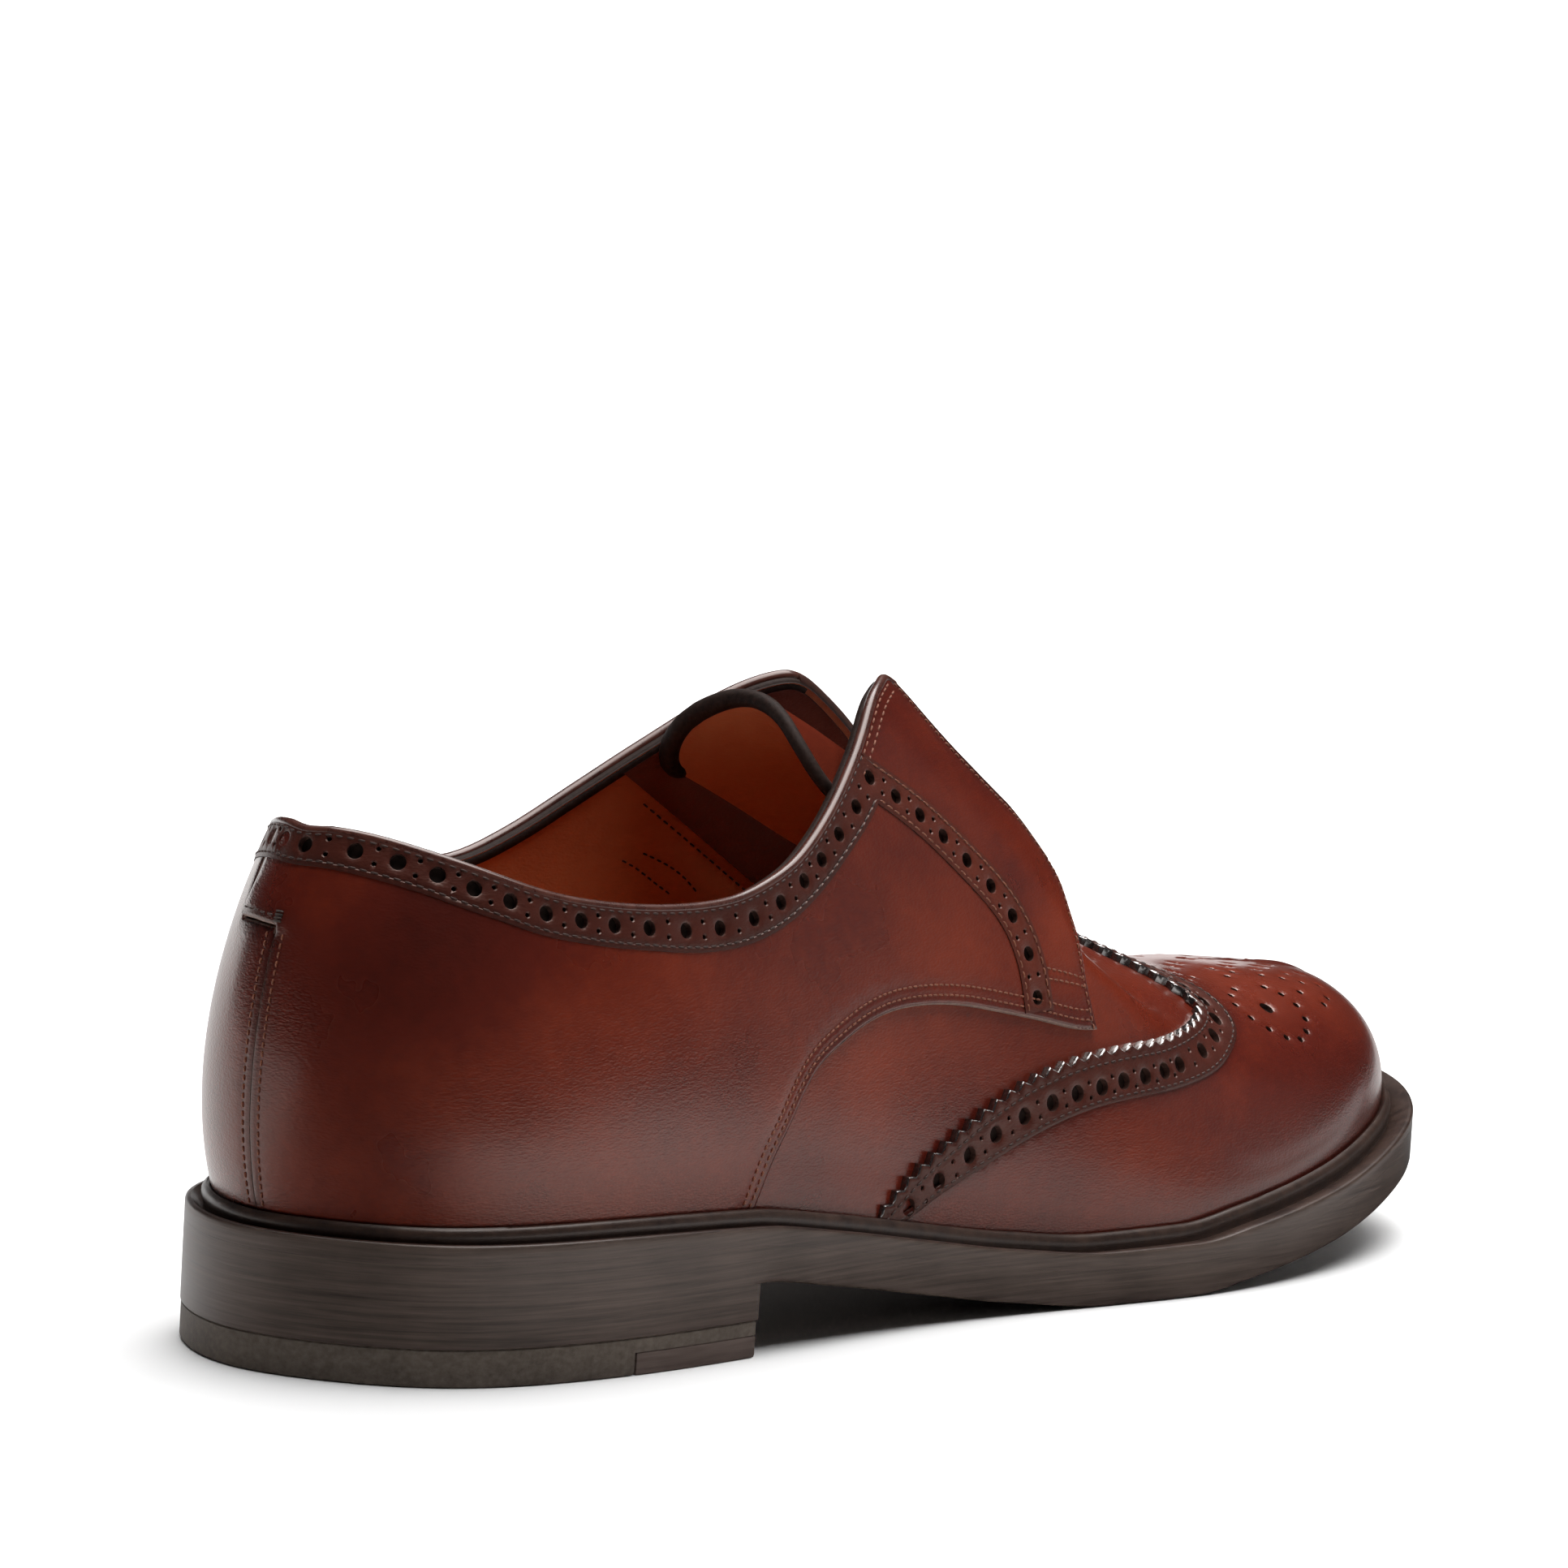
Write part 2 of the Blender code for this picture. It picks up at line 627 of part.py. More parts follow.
insole_rings = [
    ring(insole_in, lambda x: sole_top(x) + GAP),
    ring(insole_in, lambda x: sole_top(x) + GAP + INSOLE_THICK),
]
slab("insole", insole_rings, insole_leather)


# welt: flat edge, raised bead, inner face following the upper
def beside_upper(lift, out):
    """Loop a little outside the upper's face, at a height above its lower edge."""
    fine = np.linspace(0.0, 0.3, 61)
    sides = []
    for side in (-1, 1):
        rows = []
        for k, u in enumerate(STATIONS):
            z = upper_face(side, u, fine)[:, 2]
            t = float(np.interp(z[0] + lift, z, fine))
            rows.append(on_facets(side, u, t, out))
        sides.append(np.array(rows))
    return loop(*sides)


bead_top = WELT_THICK + WELT_RIDGE
bead_foot = beside_upper(WELT_THICK, GAP + WELT_RIDGE_WIDE)
bead_foot = [(p[0], p[1], float(sole_top(p[0])) + GAP + WELT_THICK) for p in bead_foot]
welt_rings = [
    ring(0.2, lambda x: sole_top(x) + GAP),
    ring(0.2, lambda x: sole_top(x) + GAP + WELT_THICK),
    bead_foot,
    beside_upper(bead_top - 0.6, GAP + WELT_RIDGE_WIDE - 0.4),
    beside_upper(bead_top, GAP + WELT_RIDGE_WIDE - 1.3),
    beside_upper(bead_top, GAP),
    beside_upper(WELT_THICK, GAP),
    [(p[0], p[1], float(sole_top(p[0])) + GAP) for p in beside_upper(0.0, GAP)],
]
tube("welt", welt_rings, welt_leather)

# heel: stack, rubber lift with its step, leather corner of the lift
stack_lines = []
for outer, inner in across_heel(0.7, HEEL_BREAST_X, 0.4):
    top_z = float(sole_rise(0.5 * (outer[0] + inner[0]))) - GAP - 0.1
    stack_lines.append((outer, inner, (HEEL_LIFT_THICK + GAP, top_z), 0))
block("heel_stack", stack_lines, heel_leather)

lift_lines = []
rear = across_heel(0.6, LIFT_INSERT_X, 0.3)
front = across_heel(LIFT_INSERT_X, HEEL_BREAST_X - 0.3, 0.3)
lift_levels = (0.0, LIFT_INSERT_THICK + GAP, HEEL_LIFT_THICK)
for outer, inner in rear[:-1]:
    lift_lines.append((outer, inner, lift_levels, 0))
for outer, inner in front:
    lift_lines.append((outer, inner, lift_levels, 1))
block("heel_lift", lift_lines, heel_rubber)

insert_lines = []
for outer, inner in across_heel(LIFT_INSERT_X + GAP, HEEL_BREAST_X - 0.3, 0.3):
    insert_lines.append((outer, inner, (0.0, LIFT_INSERT_THICK), 0))
block("heel_lift_insert", insert_lines, heel_leather)

# upper: one hollow wall with the collar and throat open
collar_outer = TOPLINE_BACK + TOPLINE_OUTER + FACING_OUTER + THROAT
collar_inner = TOPLINE_BACK + TOPLINE_INNER + FACING_INNER + THROAT
front_outer = [(U_SCALE * u, T_SCALE * (t - 1)) for u, t in collar_outer]
front_inner = [(U_SCALE * u, T_SCALE * (1 - t)) for u, t in reversed(collar_inner[:-1])]
upper_outline = [(0.0, -T_SCALE), (U_SCALE, -T_SCALE), (U_SCALE, T_SCALE), (0.0, T_SCALE)]
upper_outline += list(reversed(front_outer + front_inner))
panel("upper", upper_outline, over_ridge, -UPPER_WALL, 0.0, lining_leather)

# quarters: the outer one carries the tab over the back seam
outer_edge = TOPLINE_BACK[1:] + TOPLINE_OUTER + FACING_OUTER + FACING_FOOT + QUARTER_FOOT
inner_edge = TOPLINE_BACK[1:] + TOPLINE_INNER + FACING_INNER + FACING_FOOT + QUARTER_FOOT
seam = 0.5 * GAP / U_SCALE
outer_quarter = [(-TAB_REACH, TAB_FOOT), (seam, TAB_FOOT)] + foot_line(-1, seam, QUARTER_END)
outer_quarter += list(reversed(outer_edge)) + [(0.0, 0.624), (-TAB_REACH, 0.623)]
tab_back = -TAB_REACH - GAP / U_SCALE
inner_quarter = [(-seam, TAB_FOOT - GAP / T_SCALE), (tab_back, TAB_FOOT - GAP / T_SCALE), (tab_back, 0.623)]
inner_quarter += [(-u, t) for u, t in inner_edge]
inner_quarter += [(-u, t) for u, t in reversed(foot_line(1, seam, QUARTER_END))]
for name, line in (("quarter_lateral", outer_quarter), ("quarter_medial", inner_quarter)):
    outline = [(U_SCALE * u, T_SCALE * t) for u, t in line]
    panel(name, outline, round_heel, QUARTER_LEATHER[0], QUARTER_LEATHER[1], calf_leather)

# wing cap round the toe
cap_outer = [(U_SCALE * u, T_SCALE * (t - 1)) for u, t in CAP_EDGE]
cap_inner = [(U_SCALE * u, T_SCALE * (1 - t)) for u, t in reversed(CAP_EDGE[:-1])]
cap_outline = [(U_SCALE * u, T_SCALE * (t - 1)) for u, t in foot_line(-1, CAP_END, 1.0)]
cap_outline += [(U_SCALE * u, T_SCALE * (1 - t)) for u, t in reversed(foot_line(1, CAP_END, 1.0))]
cap_outline += list(reversed(cap_outer + cap_inner))
panel("wing_cap", cap_outline, over_ridge, CAP_LEATHER[0], CAP_LEATHER[1], calf_leather)

# strip along the topline and down both facings
strip_inner = STRIP_BACK + STRIP_INNER + STRIP_FACING
strip_outer = STRIP_BACK + STRIP_OUTER + STRIP_FACING
middle = [(-U_SCALE * u, T_SCALE * t) for u, t in reversed(strip_inner[1:])]
middle += [(U_SCALE * u, T_SCALE * t) for u, t in strip_outer]
middle = np.array(middle)
run = np.gradient(middle, axis=0)
run /= np.linalg.norm(run, axis=1)[:, None]
aside = np.c_[-run[:, 1], run[:, 0]]
upper_edge = middle + aside * STRIP_HALF
lower_edge = middle - aside * STRIP_HALF
strip_outline = [tuple(p) for p in lower_edge] + [tuple(p) for p in upper_edge[::-1]]
panel("trim_strip", strip_outline, round_heel, STRIP_LEATHER[0], STRIP_LEATHER[1], strip_leather)

# tongue: arched leaf from under the throat to its top above the collar
tongue_x = np.array([row[0] for row in TONGUE_LINE])
tongue_z = np.array([row[1] for row in TONGUE_LINE])
tongue_fall = np.array([row[2] for row in TONGUE_LINE])
across = np.linspace(-1.0, 1.0, 9)
step_x = np.gradient(tongue_x)
step_z = np.gradient(tongue_z)
length = np.hypot(step_x, step_z)
lean = np.c_[step_z / length, -step_x / length]
outer_leaf = []
inner_leaf = []
for i in range(len(tongue_x)):
    for a in across:
        fall = tongue_fall[i] * a * a
        y = float(ridge_y(tongue_x[i])) + TONGUE_ASIDE + TONGUE_HALF * a
        p = np.array([tongue_x[i] - lean[i, 0] * fall, y, tongue_z[i] - lean[i, 1] * fall])
        tilt = 2 * tongue_fall[i] * a / TONGUE_HALF
        n = np.array([lean[i, 0], tilt, lean[i, 1]]) / np.hypot(1.0, tilt)
        outer_leaf.append(p)
        inner_leaf.append(p - n * TONGUE_THICK)
wide = len(across)
tall = len(tongue_x)
leaf_verts = outer_leaf + inner_leaf
under = len(outer_leaf)
leaf_faces = []
for i in range(tall - 1):
    for j in range(wide - 1):
        a = i * wide + j
        leaf_faces.append((a, a + 1, a + wide + 1, a + wide))
        leaf_faces.append((under + a, under + a + wide, under + a + wide + 1, under + a + 1))
rim = [j for j in range(wide)]
rim += [i * wide + wide - 1 for i in range(1, tall)]
rim += [(tall - 1) * wide + j for j in range(wide - 2, -1, -1)]
rim += [i * wide for i in range(tall - 2, 0, -1)]
for i in range(len(rim)):
    a = rim[i]
    b = rim[(i + 1) % len(rim)]
    leaf_faces.append((b, a, under + a, under + b))
finish_mesh("tongue", leaf_verts, leaf_faces, tongue_leather)

for obj in bpy.context.scene.collection.objects:
    for face in obj.data.polygons:
        face.use_smooth = False
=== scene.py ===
import math
import bmesh
import bpy
import numpy as np
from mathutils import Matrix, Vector, kdtree
from mathutils.geometry import delaunay_2d_cdt


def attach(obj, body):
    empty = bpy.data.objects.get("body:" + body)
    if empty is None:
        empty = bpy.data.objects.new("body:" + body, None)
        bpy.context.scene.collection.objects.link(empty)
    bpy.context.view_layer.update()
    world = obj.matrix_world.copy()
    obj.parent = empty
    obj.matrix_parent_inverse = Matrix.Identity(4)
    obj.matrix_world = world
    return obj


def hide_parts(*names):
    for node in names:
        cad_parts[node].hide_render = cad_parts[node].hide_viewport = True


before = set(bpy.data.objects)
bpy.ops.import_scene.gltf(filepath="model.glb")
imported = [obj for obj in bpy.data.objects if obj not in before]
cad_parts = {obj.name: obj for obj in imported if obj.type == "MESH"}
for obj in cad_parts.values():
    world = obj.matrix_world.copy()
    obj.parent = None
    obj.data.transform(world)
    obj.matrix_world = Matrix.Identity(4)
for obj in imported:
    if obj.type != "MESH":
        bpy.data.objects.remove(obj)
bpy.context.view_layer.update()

# Everything is worked out in millimetres, x from the back of the heel, minus y on the outer side.
mm = 0.001
heelOrigin = 42.0  # from the back of the heel to the part's own origin
tiny = 1e-12  # keeps a division away from zero

last = {
    "soleLength": 308.0,
    "toeTipY": 3.0,
    "outsoleThick": 6.6,
    "gap": 0.3,
    # x, outer half width, inner half width
    "solePlan": [
        (4.0, 14.8, 14.8), (18.0, 32.5, 30.5), (45.0, 42.0, 39.0), (80.0, 44.0, 38.5),
        (110.0, 43.2, 36.0), (140.0, 43.2, 36.0), (170.0, 46.5, 40.5), (200.0, 50.8, 47.0),
        (225.0, 51.0, 50.5), (250.0, 47.3, 48.5), (275.0, 38.6, 41.0), (295.0, 24.6, 28.0),
    ],
    # x, height of the sole's underside
    "soleRise": [
        (0.0, 14.7), (45.0, 14.5), (85.0, 13.2), (108.0, 10.0), (130.0, 6.2), (155.0, 2.2),
        (178.0, 0.0), (199.0, 0.0), (215.0, 1.9), (245.0, 6.2), (275.0, 12.2), (308.0, 18.0),
    ],
    # x, how far the upper stands in from the sole edge
    "featherIn": [
        (0.0, 8.0), (60.0, 7.0), (110.0, 6.5), (160.0, 7.0), (220.0, 8.5), (280.0, 9.0), (308.0, 9.0),
    ],
    # x, y, z along the top of the last
    "ridge": [
        (46.0, 0.0, 135.0), (80.0, -0.5, 133.5), (115.0, -1.0, 129.5), (145.0, -1.5, 119.0),
        (165.0, -1.5, 104.5), (185.0, -1.0, 86.5), (203.0, -0.3, 69.0), (220.0, 0.6, 58.5),
        (236.0, 1.5, 54.0), (250.0, 2.0, 52.8), (262.0, 2.5, 51.8),
    ],
    # x, bulge, its height, shoulder, drop before the ridge, inner bulge, inner shoulder
    "sections": [
        (8.0, 13.0, 28.0, 1.02, 32.0, 13.0, 1.02), (40.0, 9.3, 26.0, 0.94, 38.0, 10.5, 0.97),
        (80.0, 7.0, 25.0, 0.88, 30.0, 9.5, 0.95), (120.0, 5.2, 24.0, 0.83, 20.0, 8.5, 0.93),
        (150.0, 4.2, 23.0, 0.78, 9.0, 7.0, 0.87), (180.0, 3.8, 21.5, 0.73, 0.0, 5.0, 0.78),
        (210.0, 4.0, 19.7, 0.70, 0.0, 4.2, 0.71), (240.0, 4.8, 19.0, 0.68, 0.0, 4.8, 0.68),
        (270.0, 6.0, 19.3, 0.70, 0.0, 6.0, 0.70), (299.0, 6.5, 19.3, 0.72, 0.0, 6.5, 0.72),
    ],
    # u, how far the middle of the vamp lies below the ridge
    "throatDip": [
        (0.55, 0.0), (0.58, 2.0), (0.61, 5.0), (0.64, 6.8), (0.67, 6.0), (0.70, 3.6), (0.74, 2.1),
        (0.85, 1.8), (1.0, 1.8),
    ],
    "uScale": 370.0,  # size of the flat charts that the leather is cut on
    "tScale": 115.0,
}


def unit(vectors, least=0.0):
    return vectors / (np.linalg.norm(vectors, axis=-1, keepdims=True) + least)


def lengthAlong(points):  # running length of a line at each of its points
    return np.r_[0, np.cumsum(np.linalg.norm(np.diff(points, axis=0), axis=1))]


def smoothCurve(table, column):
    xs = np.array([row[0] for row in table], float)
    ys = np.array([row[column] for row in table], float)
    count = len(xs)
    h = np.diff(xs)
    a = np.eye(count)
    b = np.zeros(count)
    for i in range(1, count - 1):
        a[i, i - 1:i + 2] = h[i - 1], 2 * (h[i - 1] + h[i]), h[i]
        b[i] = 6 * ((ys[i + 1] - ys[i]) / h[i] - (ys[i] - ys[i - 1]) / h[i - 1])
    m = np.linalg.solve(a, b)

    def value(x):
        x = np.clip(np.asarray(x, float), xs[0], xs[-1])
        i = np.clip(np.searchsorted(xs, x) - 1, 0, count - 2)
        w = xs[i + 1] - xs[i]
        p = (xs[i + 1] - x) / w
        q = 1 - p
        return p * ys[i] + q * ys[i + 1] + ((p ** 3 - p) * m[i] + (q ** 3 - q) * m[i + 1]) * w * w / 6
    return value


def levelCurve(table, column):  # never passes its own rows
    xs = np.array([row[0] for row in table], float)
    ys = np.array([row[column] for row in table], float)
    h = np.diff(xs)
    d = np.diff(ys) / h
    s = np.zeros(len(xs))
    s[0], s[-1] = d[0], d[-1]
    for i in range(1, len(xs) - 1):
        if d[i - 1] * d[i] > 0:
            w1 = 2 * h[i] + h[i - 1]
            w2 = h[i] + 2 * h[i - 1]
            s[i] = (w1 + w2) / (w1 / d[i - 1] + w2 / d[i])

    def value(x):
        x = np.clip(np.asarray(x, float), xs[0], xs[-1])
        i = np.clip(np.searchsorted(xs, x) - 1, 0, len(xs) - 2)
        t = (x - xs[i]) / h[i]
        rise = ys[i] * (1 + 2 * t) * (1 - t) ** 2 + s[i] * h[i] * t * (1 - t) ** 2
        return rise + ys[i + 1] * t * t * (3 - 2 * t) + s[i + 1] * h[i] * t * t * (t - 1)
    return value


def closedCurve(points):
    pts = np.array(points, float)
    count = len(pts)
    h = np.linalg.norm(np.roll(pts, -1, 0) - pts, axis=1)
    start = np.r_[0, np.cumsum(h)]
    a = np.zeros((count, count))
    b = np.zeros((count, 2))
    for i in range(count):
        j = (i - 1) % count
        k = (i + 1) % count
        a[i, j] += h[j]
        a[i, i] += 2 * (h[j] + h[i])
        a[i, k] += h[i]
        b[i] = 6 * ((pts[k] - pts[i]) / h[i] - (pts[i] - pts[j]) / h[j])
    m = np.linalg.solve(a, b)

    def value(s):
        s = np.asarray(s, float) % start[-1]
        i = np.clip(np.searchsorted(start, s, side="right") - 1, 0, count - 1)
        k = (i + 1) % count
        w = h[i][..., None]
        p = (start[i + 1] - s)[..., None] / w
        q = 1 - p
        return p * pts[i] + q * pts[k] + ((p ** 3 - p) * m[i] + (q ** 3 - q) * m[k]) * w * w / 6
    return value, start


planLoop = [(0.0, 0.0)] + [(x, -outer) for x, outer, inner in last["solePlan"]]
planLoop.append((last["soleLength"], last["toeTipY"]))
planLoop += [(x, inner) for x, outer, inner in reversed(last["solePlan"])]
planCurve, planStart = closedCurve(planLoop)
toeAt = planStart[len(last["solePlan"]) + 1]


def sideLengths(start):
    s = np.linspace(start, toeAt, 3000)
    arc = lengthAlong(planCurve(s))
    return s, arc / arc[-1]


sideArc = {-1: sideLengths(0.0), 1: sideLengths(planStart[-1])}
soleRise = levelCurve(last["soleRise"], 1)
featherIn = smoothCurve(last["featherIn"], 1)
ridgeY = smoothCurve(last["ridge"], 1)
ridgeZ = smoothCurve(last["ridge"], 2)
bulgeOut = {-1: smoothCurve(last["sections"], 1), 1: smoothCurve(last["sections"], 5)}
bulgeHigh = smoothCurve(last["sections"], 2)
shoulderPart = {-1: smoothCurve(last["sections"], 3), 1: smoothCurve(last["sections"], 6)}
ridgeDrop = levelCurve(last["sections"], 4)
throatDip = levelCurve(last["throatDip"], 1)


def soleEdge(side, u, inset=0.0):
    s, arc = sideArc[side]
    k = np.interp(u, arc, s)
    d = planCurve(k + 0.05) - planCurve(k - 0.05)
    n = unit(np.stack([-d[..., 1], d[..., 0]], -1))
    return planCurve(k) + n * np.asarray(inset)[..., None]


def soleTop(x):
    return soleRise(x) + last["outsoleThick"]


def feather(side, u):
    return soleEdge(side, u, featherIn(soleEdge(side, u)[..., 0]))


backX = float(feather(-1, np.array(0.0))[0])
frontX = float(feather(-1, np.array(1.0))[0])
uFine = np.linspace(0.0, 1.0, 1500)
innerShift = np.interp(feather(-1, uFine)[:, 0], feather(1, uFine)[:, 0], uFine) - uFine


def alongRidge(x):
    first, end = last["ridge"][0][0], last["ridge"][-1][0]
    return first + (end - first) * (x - backX) / (frontX - backX)


def upperFace(side, u, t):  # outer face of the upper: u 0 back seam to 1 toe, t 0 sole to 1 ridge
    if side > 0:
        ease = np.clip((t - 0.6) / 0.4, 0, 1)
        u = u + np.interp(u, uFine, innerShift) * ease * ease * (3 - 2 * ease)
    f = feather(side, u)
    x = f[..., 0]
    z0 = soleTop(x) + last["gap"]
    rx = alongRidge(x)
    rz = ridgeZ(rx)
    slope = ridgeZ(rx + 0.5) - ridgeZ(rx - 0.5)
    dx = rx - x
    dy = ridgeY(rx) - f[..., 1]
    r = np.hypot(dx, dy)
    ex, ey = dx / r, dy / r
    shoulder = shoulderPart[side](x) * r
    b0, b1, b2, b3 = (1 - t) ** 3, 3 * (1 - t) ** 2 * t, 3 * (1 - t) * t * t, t ** 3
    along = -b1 * bulgeOut[side](x) + b2 * (r - shoulder) + b3 * r
    up = b0 * z0 + b1 * (z0 + bulgeHigh(x)) + b2 * (rz - ridgeDrop(x) - slope * ex * shoulder) + b3 * rz
    ease = np.clip((t - 0.55) / 0.4, 0, 1)
    up = up - throatDip(u) * ease * ease * (3 - 2 * ease)
    return np.stack([x + ex * along, f[..., 1] + ey * along, up], -1)


def upperNormal(side, u, t):
    e = 0.001
    ahead, behind = np.clip(u + e, 0, 1), np.clip(u - e, 0, 1)
    a = upperFace(side, ahead, t) - upperFace(side, behind, t)
    b = upperFace(side, u, np.minimum(t + e, 1)) - upperFace(side, u, np.maximum(t - e, 0))
    n = unit(np.cross(a, b) * -side, tiny)
    run = upperFace(side, ahead, 0 * t + 1) - upperFace(side, behind, 0 * t + 1)
    top = unit(np.stack([-run[..., 2], 0 * u, run[..., 0] + 1e-9], -1))
    near = np.clip((t - 0.97) / 0.03, 0, 1)[..., None]  # the ridge's own normal takes over close to it
    return unit(n * (1 - near) + top * near)


def overRidge(p):  # front chart: the ridge is its middle line, the outer side at minus
    side = np.where(p[:, 1] < 0, -1, 1)
    return side, np.clip(p[:, 0] / last["uScale"], 0, 1), np.clip(1 - abs(p[:, 1]) / last["tScale"], 0, 1)


def roundHeel(p):  # rear chart: the back seam is its middle line, the outer side at plus
    side = np.where(p[:, 0] >= 0, -1, 1)
    return side, np.clip(abs(p[:, 0]) / last["uScale"], 0, 1), np.clip(p[:, 1] / last["tScale"], 0, 1)


def frontLine(table, side):
    return np.array([(last["uScale"] * u, side * last["tScale"] * (1 - t)) for u, t in table])


def rearLine(table, side):
    return np.array([(-side * last["uScale"] * u, last["tScale"] * t) for u, t in table])


def spot(chart, p, out=0.0):  # chart points to points on the upper, raised by out
    side, u, t = chart(np.asarray(p, float))
    out = np.broadcast_to(out, u.shape)
    points = np.empty(u.shape + (3,))
    normals = np.empty(u.shape + (3,))
    for s in (-1, 1):
        pick = side == s
        if pick.any():
            normals[pick] = upperNormal(s, u[pick], t[pick])
            points[pick] = upperFace(s, u[pick], t[pick]) + normals[pick] * out[pick][:, None]
    return points, normals


def chartSteps(chart, p):  # millimetres on the upper for one step along each chart axis
    e = 0.04
    steps = []
    for axis in ((e, 0.0), (0.0, e)):
        steps.append((spot(chart, p + axis)[0] - spot(chart, p - axis)[0]) / (2 * e))
    return steps


def backToChart(chart, p, vectors):
    ax, ay = chartSteps(chart, p)
    xx, xy, yy = (ax * ax).sum(1), (ax * ay).sum(1), (ay * ay).sum(1)
    vx, vy = (ax * vectors).sum(1), (ay * vectors).sum(1)
    det = xx * yy - xy * xy + 1e-9
    return np.c_[(vx * yy - vy * xy) / det, (vy * xx - vx * xy) / det]


def sideStep(chart, line, distance, closed=False):  # moves a line to its left by real millimetres
    line = np.asarray(line, float)
    if closed:
        run = np.roll(line, -1, 0) - np.roll(line, 1, 0)
    else:
        run = np.gradient(line, axis=0)
    ax, ay = chartSteps(chart, line)
    way = unit(ax * run[:, :1] + ay * run[:, 1:], tiny)
    left = np.cross(unit(np.cross(ax, ay), tiny), way)
    return line + backToChart(chart, line, left * np.asarray(distance, float).reshape(-1, 1))


def evenly(chart, line, step):  # the same line with points a real step apart
    line = np.asarray(line, float)
    s = lengthAlong(spot(chart, line)[0])
    count = max(2, int(round(s[-1] / step)) + 1)
    stops = np.linspace(0, s[-1], count)
    return np.c_[np.interp(stops, s, line[:, 0]), np.interp(stops, s, line[:, 1])]


def softLine(chart, points, step=1.0):  # smooth line through a few points
    points = np.asarray(points, float)
    s = lengthAlong(points)
    fine = np.linspace(0, s[-1], max(40, int(s[-1] * 4)))
    x = smoothCurve(np.c_[s, points[:, 0]], 1)(fine)
    y = smoothCurve(np.c_[s, points[:, 1]], 1)(fine)
    return evenly(chart, np.c_[x, y], step)


def straight(chart, a, b, step=1.0):
    return evenly(chart, np.linspace(a, b, 60), step)


def joined(*lines):
    result = [np.asarray(lines[0], float)]
    for line in lines[1:]:
        line = np.asarray(line, float)
        if np.hypot(*(line[0] - result[-1][-1])) < 0.05:
            line = line[1:]
        result.append(line)
    loop = np.concatenate(result)
    if np.hypot(*(loop[0] - loop[-1])) < 0.05:
        loop = loop[:-1]
    return loop


def meet(a, b):  # first crossing of two lines: index on each and the place
    for i in range(len(a) - 1):
        p, r = a[i], a[i + 1] - a[i]
        q, s = b[:-1], np.diff(b, axis=0)
        cross = r[0] * s[:, 1] - r[1] * s[:, 0]
        cross = np.where(abs(cross) < tiny, tiny, cross)
        gap = q - p
        k = (gap[:, 0] * s[:, 1] - gap[:, 1] * s[:, 0]) / cross
        m = (gap[:, 0] * r[1] - gap[:, 1] * r[0]) / cross
        hit = np.nonzero((k >= 0) & (k <= 1) & (m >= 0) & (m <= 1))[0]
        if len(hit):
            return i, int(hit[0]), p + k[hit[0]] * r
    raise ValueError("two leather lines never cross")


def insideLoop(points, loop):
    x, y = points[:, :1], points[:, 1:]
    a = loop
    b = np.roll(loop, -1, 0)
    rise = b[:, 1] - a[:, 1]
    rise = np.where(abs(rise) < tiny, tiny, rise)
    level = (a[:, 1] > y) != (b[:, 1] > y)
    crossed = level & (x < a[:, 0] + (y - a[:, 1]) / rise * (b[:, 0] - a[:, 0]))
    return crossed.sum(1) % 2 == 1


def treeOf(points):
    tree = kdtree.KDTree(len(points))
    for i, p in enumerate(points):
        tree.insert((p[0], p[1], 0.0), i)
    tree.balance()
    return tree


def clearOf(points, tree, distance):
    keep = [tree.find((p[0], p[1], 0.0))[2] > distance for p in points]
    return points[np.array(keep, bool)]


def toPart(points):
    return (np.asarray(points, float) - (heelOrigin, 0.0, 0.0)) * mm


def addPiece(name, verts, faces, materials, slots=None, smoothAngle=40.0):
    mesh = bpy.data.meshes.new(name)
    mesh.from_pydata(toPart(verts).tolist(), [], faces)
    for material in materials:
        mesh.materials.append(material)
    if slots is not None:
        mesh.polygons.foreach_set("material_index", np.asarray(slots, np.int32))
    mesh.polygons.foreach_set("use_smooth", np.ones(len(mesh.polygons), bool))
    mesh.set_sharp_from_angle(angle=math.radians(smoothAngle))
    mesh.update()
    piece = bpy.data.objects.new(name, mesh)
    bpy.context.scene.collection.objects.link(piece)
    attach(piece, "root")
    return piece


def paintPoints(piece, name, values):  # one number per point, read by the leather shader
    layer = piece.data.attributes.new(name, "FLOAT", "POINT")
    layer.data.foreach_set("value", np.asarray(values, np.float32))


def fillRows(chart, loop, cell):  # points in staggered rows, a real cell apart along each row
    low, high = loop.min(0), loop.max(0)
    rows = []
    for number, y in enumerate(np.arange(low[1] + 0.5 * cell, high[1], cell)):
        x = np.linspace(low[0], high[0], int((high[0] - low[0]) / 0.8) + 2)
        line = np.c_[x, np.full(len(x), y)]
        s = lengthAlong(spot(chart, line)[0])
        stops = np.arange(0.5 * cell * (number % 2), s[-1], cell)
        rows.append(np.c_[np.interp(stops, s, x), np.full(len(stops), y)])
    points = np.concatenate(rows)
    return points[insideLoop(points, loop)]


